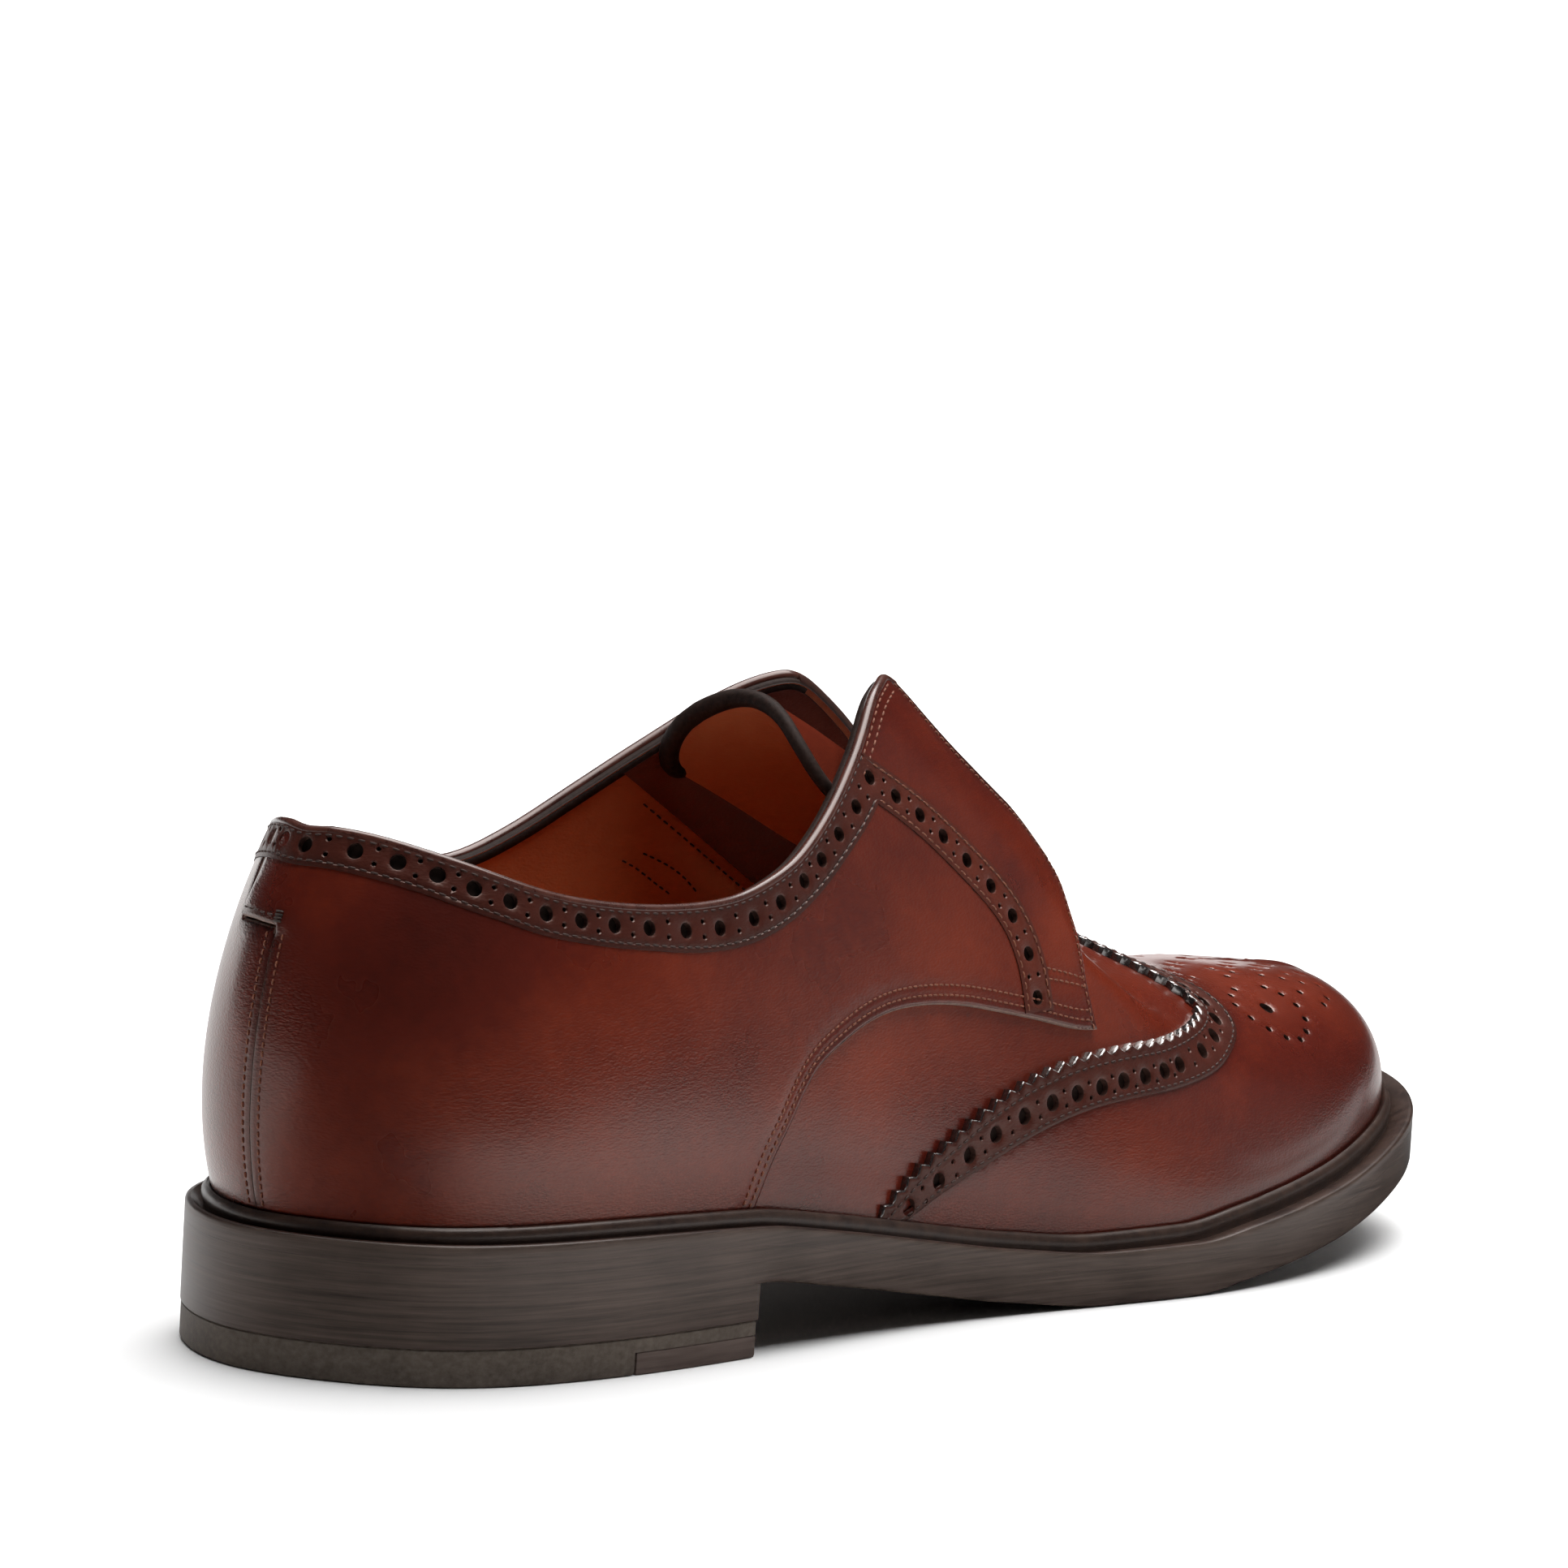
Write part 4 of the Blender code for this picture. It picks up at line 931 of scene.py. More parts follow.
def collarLine(side):
    top, facing = tipRun(overRidge, frontLine, side, 7, 1.0)
    throat = sided("facing", side)[6:7] + lines["throat"][1:]
    return top, facing, softLine(overRidge, frontLine(throat, side), 1.5)


def makeLining():
    spec = liningCut
    outer = joined(*collarLine(-1))
    inner = joined(*collarLine(1))
    corners = [frontLine([(u, 0.0)], s)[0] for u, s in ((0.0, -1), (1.0, -1), (1.0, 1), (0.0, 1))]
    stops = [outer[0]] + corners + [inner[0]]
    hem = [straight(overRidge, a, b, spec["step"]) for a, b in zip(stops[:-1], stops[1:])]
    loop = joined(*hem[1:], inner, outer[::-1], hem[0])
    piece = cutLeather("lining", loop, overRidge, spec["low"], spec["high"], skins(liningSkin, liningEdge),
                       spec["cell"], edgeFall=0.1, relief=throatSink)
    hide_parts("upper")
    for side, name in ((-1, "facingLiningOuter"), (1, "facingLiningInner")):
        seam = softLine(overRidge, frontLine(lines["liningSeam"], side), 1.5)
        top, facing, throat = collarLine(side)
        top, facing = (sideStep(overRidge, line, spec["underEdge"] * side) for line in (top, facing))
        i, j, cross = meet(top, np.r_[[seam[0] - 6 * (seam[1] - seam[0])], seam])
        loop = joined([cross], top[i + 1:], facing[1:], seam[max(j, 1) - 1:][::-1])
        if side < 0:
            loop = loop[::-1]
        flap = cutLeather(name, loop, overRidge, spec["facingLow"], spec["facingHigh"],
                          skins(facingSkin, liningEdge), spec["cell"], edgeFall=0.1)
        row = sideStep(overRidge, seam[2:], spec["seamRow"] * side)
        sewRow("brown", overRidge, row[6:], spec["low"], pitch=spec["seamStitch"])
        for points in lines["liningRows"]:
            row = softLine(overRidge, frontLine(points, side))
            sewRow("brown", overRidge, row, spec["low"], pitch=spec["rowStitch"])


quarterCut = {
    "low": 0.1, "high": 1.5, "cell": 1.9, "tabReach": 0.041, "tabTop": 0.616, "tabFoot": 0.487, "foot": 0.02,
    "tabGap": 0.3,  # between the tab and the inner quarter
    "footRows": (1.7, 3.5), "facingRow": 1.2, "stitch": 1.5, "sink": 0.06, "holeWider": 0.12,
    "seamRow": (2.3, 2.6), "seamRowFoot": 0.07,  # aside of the back seam at its foot and top, t of the foot
    "tackRows": (0.5, 1.0, 1.5, 2.0),
    "bars": [[(0.538, 0.491), (0.569, 0.502)], [(0.538, 0.476), (0.569, 0.489)]],
    "tones": [
        (0.015, 0.55, 12, 0.16), (0.09, 0.50, 22, -0.26), (0.05, 0.30, 26, 0.04), (0.20, 0.47, 20, 0.16),
        (0.27, 0.43, 20, 0.04), (0.19, 0.36, 24, -0.06), (0.36, 0.42, 22, 0.06), (0.47, 0.47, 20, 0.16),
        (0.55, 0.66, 15, 0.14), (0.565, 0.56, 10, 0.22), (0.50, 0.77, 20, -0.10), (0.53, 0.60, 9, -0.16),
        (0.15, 0.12, 30, 0.08), (-0.10, 0.50, 24, -0.2), (-0.25, 0.44, 26, 0.2), (-0.20, 0.36, 24, -0.10),
        (-0.50, 0.50, 26, 0.14), (-0.55, 0.66, 18, 0.10), (-0.15, 0.12, 30, 0.06),
    ],
}


def tabSwell(side, u, t):  # the tab stands proud where it passes the back seam
    past = np.where(side > 0, 1.0, np.clip(1 - u / 0.02, 0, 1))
    return 0.7 * past * np.clip((t - 0.474) / 0.012, 0, 1) * np.clip((0.55 - t) / 0.05, 0, 1)


def backSeam(side, u, t):
    return (u < 0.006) & (t < 0.47)


def quarterLines(side):
    top, facing = tipRun(roundHeel, rearLine, side, 14, 1.0)
    foot = softLine(roundHeel, rearLine(lines["quarterFoot"], side))
    return top, facing, foot


def makeQuarters():
    spec = quarterCut
    punched = [hole for side in (-1, 1) for hole in stripHoles(side)]
    over = spec["tabReach"] * last["uScale"]
    hem = spec["tabFoot"] * last["tScale"]
    for side, name, node in ((-1, "outerQuarter", "quarter_lateral"), (1, "innerQuarter", "quarter_medial")):
        top, facing, foot = quarterLines(side)
        seamFoot = rearLine([(0.0003, spec["foot"])], side)[0]
        lower = straight(roundHeel, seamFoot, foot[-1], 1.6)
        if side < 0:
            tabTop = (-over, spec["tabTop"] * last["tScale"])
            seamTop = np.array((0.1, hem))
            tab = joined(straight(roundHeel, top[0], tabTop), straight(roundHeel, tabTop, (-over, hem), 0.8),
                         straight(roundHeel, (-over, hem), seamTop, 0.8),
                         straight(roundHeel, seamTop, seamFoot, 1.2))
            loop = joined(lower, foot[::-1], facing[::-1], top[::-1], tab)
        else:
            gap = spec["tabGap"]
            start = next(i for i, p in enumerate(top) if p[0] < -over - gap)
            tabTop = np.array((-over - gap, top[start][1]))
            seamTop = np.array((-0.1, hem - gap))
            tab = joined(straight(roundHeel, tabTop, (-over - gap, hem - gap), 0.8),
                         straight(roundHeel, (-over - gap, hem - gap), seamTop, 0.8),
                         straight(roundHeel, seamTop, seamFoot, 1.2))
            loop = joined(lower, foot[::-1], facing[::-1], top[start:][::-1], tab)[::-1]
        rows = [sideStep(roundHeel, foot[:-3], aside * side)[2:] for aside in spec["footRows"]]
        rows.append(sideStep(roundHeel, facing[2:], spec["facingRow"] * side))
        atFoot, atTop = spec["seamRow"]
        seamRowFoot = (-side * atFoot, spec["seamRowFoot"] * last["tScale"])
        rows.append(straight(roundHeel, seamRowFoot, (-side * atTop, hem - 1.0)))
        rows += [straight(roundHeel, *rearLine(bar, side)) for bar in spec["bars"]]
        rim = treeOf(loop)
        under = []  # the strip's holes go on down into the quarter
        for x, y, radius in punched:
            if insideLoop(np.array([(x, y)]), loop)[0] and rim.find((x, y, 0.0))[2] > 1.9 * radius:
                under.append((x, y, radius + spec["holeWider"]))
        piece = cutLeather(name, loop, roundHeel, spec["low"], spec["high"], skins(calf, rawEdge, facingSkin),
                           spec["cell"], under, [(row, seamDepth) for row in rows], 0.45,
                           tabSwell if side < 0 else None, spec["tones"], rawRim=True, closed=backSeam)
        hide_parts(node)
        for row in rows:
            sewRow("copper", roundHeel, row, spec["high"] - spec["sink"], pitch=spec["stitch"])
    hemRow = straight(roundHeel, (-over + 0.8, hem + 1.3), (2.2, hem + 1.3))
    sewRow("brown", roundHeel, hemRow, spec["high"] + 0.62)
    for lift in spec["tackRows"]:  # bar tack at the foot of the tab
        tack = straight(roundHeel, (-0.6, hem + lift), (1.9, hem + lift))
        sewRow("dark", roundHeel, tack, spec["high"] + 0.7, pitch=1.6, part=0.95)


stripCut = {
    "low": 1.3, "high": 1.74, "cell": 1.5, "half": 3.9, "topGap": 0.6, "hole": 1.4,
    "pin": 0.42, "pinAside": 1.35, "sink": 0.08, "tipRows": (1.7, 3.3),
    "lowRow": 0.95, "highRow": 0.75, "sideRow": 0.9,  # rows of stitches, in from the strip's edges
    "tones": [(0.45, 0.66, 16, 0.22), (0.49, 0.58, 18, 0.36), (0.525, 0.48, 16, 0.30),
              (-0.45, 0.66, 16, 0.22), (-0.49, 0.58, 18, 0.36), (-0.525, 0.48, 16, 0.30)],
}


def punchRow(chart, centres, spec):  # big holes with a pair of pinholes between each two
    centres = np.asarray(centres, float)
    pins = []
    for a, b in zip(centres[:-1], centres[1:]):
        near = np.linspace(a, b, 5)
        pins += [sideStep(chart, near, aside)[2] for aside in (spec["pinAside"], -spec["pinAside"])]
    return [(*p, spec["hole"]) for p in centres] + [(*p, spec["pin"]) for p in pins]


def stripSide(side):
    spec = stripCut
    up = -side  # left of a line running forwards is up on the outer side
    top = quarterLines(side)[0]
    centre = softLine(roundHeel, rearLine(lines["stripBack"] + sided("strip", side), side))
    turn = sided("strip", side)[-1:]
    run = softLine(roundHeel, rearLine(turn + lines["stripFacing"] + [(0.527, 0.424)], side))
    upper = sideStep(roundHeel, top, -up * spec["topGap"])
    lower = sideStep(roundHeel, centre, -up * spec["half"])
    front = sideStep(roundHeel, run, up * spec["half"])
    front = np.r_[[front[0] - 14 * (front[1] - front[0])], front]
    rear = sideStep(roundHeel, run, -up * spec["half"])
    i, j, low = meet(lower, rear)
    k, m, high = meet(upper, front)
    return {"lower": np.r_[lower[:i + 1], [low]], "rear": np.r_[[low], rear[j + 1:]], "top": top,
            "front": np.r_[[high], front[m + 1:]], "upper": np.r_[upper[:k + 1], [high]]}


def stripHoles(side):
    rows = [(0.004 if side < 0 else 0.02, 0.594)] + lines["stripBack"][1:]
    rows += sided("strip", side) + lines["stripFacing"]
    return punchRow(roundHeel, rearLine(rows, side), stripCut)


def makeStrip():
    spec = stripCut
    outer, inner = stripSide(-1), stripSide(1)
    outerFoot = straight(roundHeel, outer["rear"][-1], outer["front"][-1])
    innerFoot = straight(roundHeel, inner["front"][-1], inner["rear"][-1])
    loop = joined(inner["lower"][::-1], outer["lower"], outer["rear"], outerFoot, outer["front"][::-1],
                  outer["upper"][::-1], inner["upper"], inner["front"], innerFoot, inner["rear"][::-1])
    holes = []
    grooves = []
    for side, one in ((-1, outer), (1, inner)):
        up = -side
        holes += stripHoles(side)
        low = sideStep(roundHeel, one["lower"][:-1], up * spec["lowRow"])
        high = sideStep(roundHeel, one["upper"][:-1], -up * spec["highRow"])
        rear = sideStep(roundHeel, one["rear"][1:], up * spec["sideRow"])
        front = sideStep(roundHeel, one["front"][1:], -up * spec["sideRow"])
        grooves += [(row, seamDepth) for row in (low, high, rear, front)]
        for thread, row in (("brown", low), ("brown", high), ("copper", rear), ("copper", front)):
            sewRow(thread, roundHeel, row, spec["high"] - spec["sink"])
        for aside in spec["tipRows"]:  # double row from the strip's corner up to the tip
            row = sideStep(roundHeel, one["top"][-30:], -up * aside)[:-2]
            sewRow("copper", roundHeel, row, quarterCut["high"] - 0.02)
    piece = cutLeather("trimStrip", loop, roundHeel, spec["low"], spec["high"], skins(stripCalf, calfEdge),
                       spec["cell"], holes, grooves, 0.06, tones=spec["tones"], through=True)
    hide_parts("trim_strip")


capCut = {
    "low": 0.1, "high": 1.35, "cell": 1.8, "underStrip": 1.3,
    "tones": [
        (0.80, 0.62, 20, 0.30), (0.62, 0.30, 24, 0.10), (0.80, 0.36, 24, -0.28), (0.97, 0.45, 26, -0.04),
        (0.90, 0.70, 22, 0.18), (-0.97, 0.45, 26, -0.26), (-0.80, 0.62, 20, 0.10), (-0.62, 0.30, 24, 0.10),
        (0.55, 0.14, 26, -0.06), (0.70, 0.15, 26, -0.12), (-0.70, 0.15, 26, -0.12),
    ],
}
capStripCut = {"low": 0.05, "high": 1.75, "cell": 1.4, "toothPitch": 3.8, "toothDepth": 0.75,
               "hole": 1.6, "pin": 0.4, "pinAside": 1.4, "sink": 0.08,
               "rowUnderTeeth": 2.0, "rowOverFoot": 0.9}
# holes of the toe medallion: x, distance from the middle line, radius
medallion = [
    (248.5, 25.0, 1.5), (245.9, 18.9, 0.75), (241.8, 21.2, 0.75), (239.2, 24.3, 0.75), (240.0, 27.6, 0.75),
    (243.0, 29.8, 0.75), (246.9, 31.2, 0.75), (251.2, 31.4, 0.75), (254.9, 30.0, 0.75), (257.6, 27.6, 0.75),
    (258.6, 24.6, 0.75), (257.6, 21.6, 0.75), (255.4, 19.0, 0.75), (236.6, 11.0, 0.75), (239.6, 13.4, 0.75),
    (236.2, 15.4, 0.75), (251.4, 9.2, 0.75), (254.6, 11.8, 0.75), (250.6, 13.6, 0.75), (257.4, 8.4, 0.75),
    (261.0, 14.2, 0.75), (263.6, 10.6, 0.75), (265.6, 15.6, 0.75), (264.4, 21.0, 0.75), (268.6, 23.6, 0.75),
    (270.2, 16.8, 0.75), (272.6, 21.2, 0.75), (271.2, 12.4, 0.75), (276.0, 16.4, 0.75), (277.4, 10.6, 0.75),
    (246.0, 4.6, 0.75), (241.6, 6.8, 0.75), (262.0, 5.2, 0.75), (268.6, 7.6, 0.75), (274.0, 5.2, 0.75),
]
medallionMiddle = [(253.0, 1.5), (236.5, 0.75), (259.0, 0.75)]  # x, radius of the holes on the middle line


def chartOfPlan(plan):  # front chart places above plan points of the toe, found by stepping
    plan = np.asarray(plan, float)
    p = np.c_[np.full(len(plan), last["uScale"] * 0.82), np.where(plan[:, 1] < 2.2, -25.0, 25.0)]
    for _ in range(30):
        at = spot(overRidge, p)[0]
        ax, ay = chartSteps(overRidge, p)
        gap = plan - at[:, :2]
        det = ax[:, 0] * ay[:, 1] - ax[:, 1] * ay[:, 0]
        move = np.c_[gap[:, 0] * ay[:, 1] - gap[:, 1] * ay[:, 0], gap[:, 1] * ax[:, 0] - gap[:, 0] * ax[:, 1]]
        p = p + np.clip(move / (det[:, None] + 1e-9), -8, 8)
        p[:, 0] = np.clip(p[:, 0], 0.6 * last["uScale"], 0.995 * last["uScale"])
    return p


def capLine(key, step=1.0):  # from the welt on the outer side over the toe to the welt on the inner side
    outer = frontLine(lines[key], -1)
    inner = frontLine(lines[key][:-1], 1)[::-1]
    return softLine(overRidge, np.r_[outer, inner], step)


def makeCap():
    spec = capCut
    edge = sideStep(overRidge, capLine("capStripFoot"), spec["underStrip"])
    corners = [frontLine([(1.0, 0.02)], s)[0] for s in (-1, 1)]
    start = np.array((edge[0][0], corners[0][1]))
    end = np.array((edge[-1][0], corners[1][1]))
    nose = straight(overRidge, corners[0], corners[1], 1.6)
    half = nose[nose[:, 1] < -0.4]
    nose = np.r_[half, [(corners[0][0], 0.0)], half[::-1] * (1, -1)]
    loop = joined([start], straight(overRidge, start, corners[0], 1.8), nose,
                  straight(overRidge, corners[1], end, 1.8), edge[::-1])
    holes = []
    for s in (-1, 1):
        plan = [(x, float(ridgeY(x)) + s * aside) for x, aside, radius in medallion]
        holes += [(*p, row[2]) for p, row in zip(chartOfPlan(plan), medallion)]
    ridgeX = upperFace(-1, uFine, np.ones(len(uFine)))[:, 0]
    for x, radius in medallionMiddle:
        holes.append((last["uScale"] * np.interp(x, ridgeX, uFine), -0.01, radius))
    piece = cutLeather("wingCap", loop, overRidge, spec["low"], spec["high"], skins(calf, calfEdge),
                       spec["cell"], holes=holes, tones=spec["tones"])
    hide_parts("wing_cap")


def capFoot(side, u, t):  # the strip's lower edge lies flat on the cap
    foot = np.array(lines["capStripFoot"])
    return t < np.interp(u, foot[:13, 0], foot[:13, 1]) + 0.012


def makeCapStrip():
    spec = capStripCut
    perTooth = 6  # points along one tooth
    edge = evenly(overRidge, capLine("capEdge", 0.5), spec["toothPitch"] / perTooth)
    along = np.arange(len(edge)) % perTooth
    zigzag = np.interp(along, (0, perTooth / 2, perTooth), (1.0, -1.0, 1.0))
    teeth = sideStep(overRidge, edge, zigzag * spec["toothDepth"])
    foot = capLine("capStripFoot")
    loop = joined(foot, teeth[::-1])
    centres = np.r_[frontLine(lines["capHoles"], -1), frontLine(lines["capHoles"][:-1], 1)[::-1]]
    holes = punchRow(overRidge, centres[1:-1], spec)
    high = sideStep(overRidge, evenly(overRidge, edge, 1.0), -spec["rowUnderTeeth"])
    low = sideStep(overRidge, foot, spec["rowOverFoot"])
    grooves = [(high, seamDepth), (low, seamDepth)]
    piece = cutLeather("capStrip", loop, overRidge, spec["low"], spec["high"], skins(stripCalf, toothEdge),
                       spec["cell"], holes, grooves, rawRim=True, closed=capFoot)
    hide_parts("wing_cap")
    for row in (high, low):
        sewRow("brown", overRidge, row, spec["high"] - spec["sink"])


# Edges of the collar and the facings
edgeCut = {
    # millimetres through the leather from the lining out, and up from the cut edge
    "outerBead": [(-0.3, -1.2), (1.3, -1.4), (1.72, -0.9), (1.8, -0.35), (1.55, 0.15), (1.05, 0.42),
                  (0.5, 0.4), (0.0, 0.2), (-0.3, -0.2)],
    "liningBead": [(-1.9, -2.1), (-0.3, -1.2), (-0.25, -0.1), (-0.7, 0.15), (-1.3, 0.1), (-1.9, -0.25),
                   (-2.25, -0.9), (-2.25, -1.7)],
    "facingBead": [(-1.2, -0.8), (1.2, -0.8), (1.5, -0.3), (1.5, 0.1), (1.2, 0.35), (0.2, 0.45),
                   (-0.9, 0.35), (-1.3, 0.0), (-1.35, -0.4)],
}


def runEdge(name, line, outwards, section, material):
    line = evenly(roundHeel, line, 0.8)
    at, normal = spot(roundHeel, line)
    aside = unit(spot(roundHeel, sideStep(roundHeel, line, outwards))[0] - at)
    section = section if outwards < 0 else section[::-1]
    piece = sweepSection(name, at, normal, aside, section, [material])


def makeEdges():
    outer, inner = quarterLines(-1), quarterLines(1)
    collar = joined(inner[1][:5][::-1], inner[0][::-1], outer[0], outer[1][:4])
    runEdge("toplineEdge", collar, 1.0, edgeCut["outerBead"], beadEdge)
    runEdge("liningTopEdge", collar, 1.0, edgeCut["liningBead"], liningEdge)
    for side, line, name in ((-1, outer[1], "facingEdgeOuter"), (1, inner[1], "facingEdgeInner")):
        free = line[2:int(0.62 * len(line))]
        runEdge(name, free, -side, edgeCut["facingBead"], calfEdge)


# Tongue: arched leaf with a rolled rim
tongueCut = {
    # x, z of its outer face, fall of its sides
    "line": [(206.0, 57.5, 8.0), (196.0, 65.4, 9.0), (186.0, 73.4, 10.0), (176.0, 80.8, 10.5),
             (166.0, 86.9, 11.0), (156.0, 92.0, 11.5), (146.0, 97.3, 12.0), (133.0, 104.3, 13.0),
             (120.0, 110.5, 13.5)],
    "half": 20.5, "aside": -1.2, "thick": 2.0, "cornerRound": 9.0, "rows": 64, "columns": 33,
    # part of the way round the rim, half thickness of the roll
    "rim": [(0.0, 0.9), (0.35, 1.1), (0.6, 1.6), (0.85, 1.9), (0.95, 1.7), (1.0, 0.6)],
    "rimFrom": 0.35, "rimTo": 0.88,  # where the roll starts on the outer side and ends on the inner side
}


def tonguePoint(s, a, depth):  # s 0 throat to 1 top, a -1 outer side to 1 inner side
    table = np.array(tongueCut["line"])
    run = np.r_[0, np.cumsum(np.hypot(np.diff(table[:, 0]), np.diff(table[:, 1])))]
    rows = np.c_[run / run[-1], table]
    x, z, fall = (smoothCurve(rows, k)(s) for k in (1, 2, 3))
    e = 0.01
    dx = smoothCurve(rows, 1)(s + e) - smoothCurve(rows, 1)(s - e)
    dz = smoothCurve(rows, 2)(s + e) - smoothCurve(rows, 2)(s - e)
    length = np.hypot(dx, dz)
    leanX, leanZ = dz / length, -dx / length
    left = (1 - s) * run[-1] / tongueCut["cornerRound"]
    inset = np.where(left < 1, 1 - np.sqrt(np.clip(1 - (1 - left) ** 2, 0, 1)), 0.0)
    a = a * (1 - inset * tongueCut["cornerRound"] / tongueCut["half"])
    drop = fall * a * a
    tilt = 2 * fall * a / tongueCut["half"]
    y = ridgeY(x) + tongueCut["aside"] + tongueCut["half"] * a
    n = np.stack([leanX, tilt, leanZ], -1) / np.hypot(1.0, tilt)[..., None]
    return np.stack([x - leanX * drop, y, z - leanZ * drop], -1) - n * depth, n


def makeTongue():
    spec = tongueCut
    s, a = np.meshgrid(np.linspace(0, 1, spec["rows"]), np.linspace(-1, 1, spec["columns"]), indexing="ij")
    face = tonguePoint(s, a, 0.0)[0].reshape(-1, 3)
    back = tonguePoint(s, a, spec["thick"])[0].reshape(-1, 3)
    wide, tall, under = spec["columns"], spec["rows"], len(face)
    faces = []
    slots = []
    for i in range(tall - 1):
        for j in range(wide - 1):
            k = i * wide + j
            faces.append((k, k + 1, k + wide + 1, k + wide))
            faces.append((under + k, under + k + wide, under + k + wide + 1, under + k + 1))
            slots += [0, 1]
    rim = list(range(wide)) + [i * wide + wide - 1 for i in range(1, tall)]
    rim += [(tall - 1) * wide + j for j in range(wide - 2, -1, -1)]
    rim += [i * wide for i in range(tall - 2, 0, -1)]
    for i in range(len(rim)):
        p, q = rim[i], rim[(i + 1) % len(rim)]
        faces.append((q, p, under + p, under + q))
        slots.append(2)
    piece = addPiece("tongueLeaf", np.r_[face, back], faces, [tongueSkin, liningSkin, liningEdge], slots)
    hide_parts("tongue")
    sideS = np.linspace(spec["rimFrom"], 1.0, 90)
    innerS = np.linspace(1.0, spec["rimTo"], 40)
    topA = np.linspace(-1, 1, 60)[1:-1]
    middle = 0.5 * spec["thick"]
    path = [tonguePoint(sideS, np.full(90, -1.0), middle), tonguePoint(np.ones(58), topA, middle),
            tonguePoint(innerS, np.ones(40), middle)]
    at = np.concatenate([p for p, n in path])
    up = np.concatenate([n for p, n in path])
    step = np.r_[1.0, np.linalg.norm(np.diff(at, axis=0), axis=1)]
    at, up = at[step > 0.05], up[step > 0.05]
    aside = unit(np.cross(unit(np.gradient(at, axis=0)), up))
    angles = np.arange(12) * math.pi / 6
    circle = np.c_[np.cos(angles), np.sin(angles)]
    thick = levelCurve(spec["rim"], 1)(np.linspace(0, 1, len(at)))
    rolled = sweepSection("tongueRim", at, up, aside, circle, [liningEdge], grow=thick)


makeVamp()
makeLining()
makeQuarters()
makeStrip()
makeCap()
makeCapStrip()
makeEdges()
makeTongue()
print("upper done")

# Welt, sole and heel
soleCut = {
    "stations": 240, "heelBreast": 85.0, "liftThick": 6.7, "insertX": 55.0, "insertThick": 3.8,
    "insoleThick": 3.6, "insoleIn": 1.9, "insoleUp": 0.3, "weltUp": 0.02,
    # in from the sole's edge, up from its top
    "weltSide": [(0.0, 0.0), (0.0, 1.5), (0.0, 2.8), (0.12, 3.15), (0.45, 3.4), (1.0, 3.45)],
    # up along the upper, out from it
    "weltBead": [(3.3, 4.5), (2.9, 4.1), (2.7, 3.7), (3.1, 3.4), (3.9, 3.55), (4.8, 3.5), (5.5, 3.2),
                 (5.95, 2.7), (6.1, 2.2), (5.8, 1.7), (4.6, 1.2), (0.2, 0.4)],
}
stationU = np.linspace(0, 1, soleCut["stations"])
stationU = stationU - 0.6 * np.sin(2 * np.pi * stationU) / (2 * np.pi)  # closer together at heel and toe


def roundLoop(outer, inner):
    return np.concatenate([outer, inner[-2:0:-1]])


def edgeRing(inset, height):
    sides = []
    for side in (-1, 1):
        x = soleEdge(side, stationU)[:, 0]
        move = inset(x) if callable(inset) else np.full(len(x), inset)
        p = soleEdge(side, stationU, move)
        sides.append(np.c_[p, height(p[:, 0])])
    return roundLoop(*sides)


def besideUpper(lift, out):
    fine = np.linspace(0.0, 0.35, 60)
    sides = []
    for side in (-1, 1):
        u = np.repeat(stationU[:, None], 60, 1)
        z = upperFace(side, u, np.repeat(fine[None], len(stationU), 0))[..., 2]
        t = np.array([np.interp(row[0] + lift, row, fine) for row in z])
        p = upperFace(side, stationU, t) + upperNormal(side, stationU, t) * out
        if side > 0:
            p[0], p[-1] = sides[0][0], sides[0][-1]
        sides.append(p)
    return roundLoop(*sides)


def ringPiece(name, rings, materials, slots, closed, smoothAngle=35):
    size = len(rings[0])
    count = len(rings)
    faces = bandFaces(count, size, closed=closed)
    slotList = np.repeat(slots[:len(faces) // size], size).tolist()
    if not closed:  # strips across the bottom and the top
        half = size // 2
        for base, up in ((0, False), ((count - 1) * size, True)):
            for k in range(half):
                face = [base + k, base + k + 1, base + (size - k - 1) % size, base + (size - k) % size]
                face = list(dict.fromkeys(face))
                faces.append(tuple(face if up else face[::-1]))
                slotList.append(slots[-1])
    return addPiece(name, np.concatenate(rings), faces, materials, slotList, smoothAngle)


def raised(base, up):  # a curve along the shoe, moved up
    return lambda x: base(x) + up


def makeWelt():
    spec = soleCut
    floor = raised(soleTop, spec["weltUp"])
    rings = [edgeRing(inset, raised(floor, up)) for inset, up in spec["weltSide"]]
    rings += [besideUpper(lift, out) for lift, out in spec["weltBead"]]
    slots = [0] * 3 + [1] * (len(rings) - 3)
    piece = ringPiece("weltRing", rings, [soleSide, weltTop], slots, True, 50)
    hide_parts("welt")


def bevel(size):  # the edge over the heel stays square
    return lambda x: size * np.clip((x - soleCut["heelBreast"]) / 3, 0, 1)


def makeOutsole():
    rows = ((12.0, 0.0), (bevel(1.2), 0.0), (bevel(0.5), 0.1), (bevel(0.12), 0.45), (0.0, 1.0))
    rings = [edgeRing(inset, raised(soleRise, up)) for inset, up in rows]
    rings += [edgeRing(0.0, soleTop), edgeRing(2.0, soleTop)]
    piece = ringPiece("outsoleLeather", rings, [soleSide], [0] * len(rings), False)
    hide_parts("outsole")


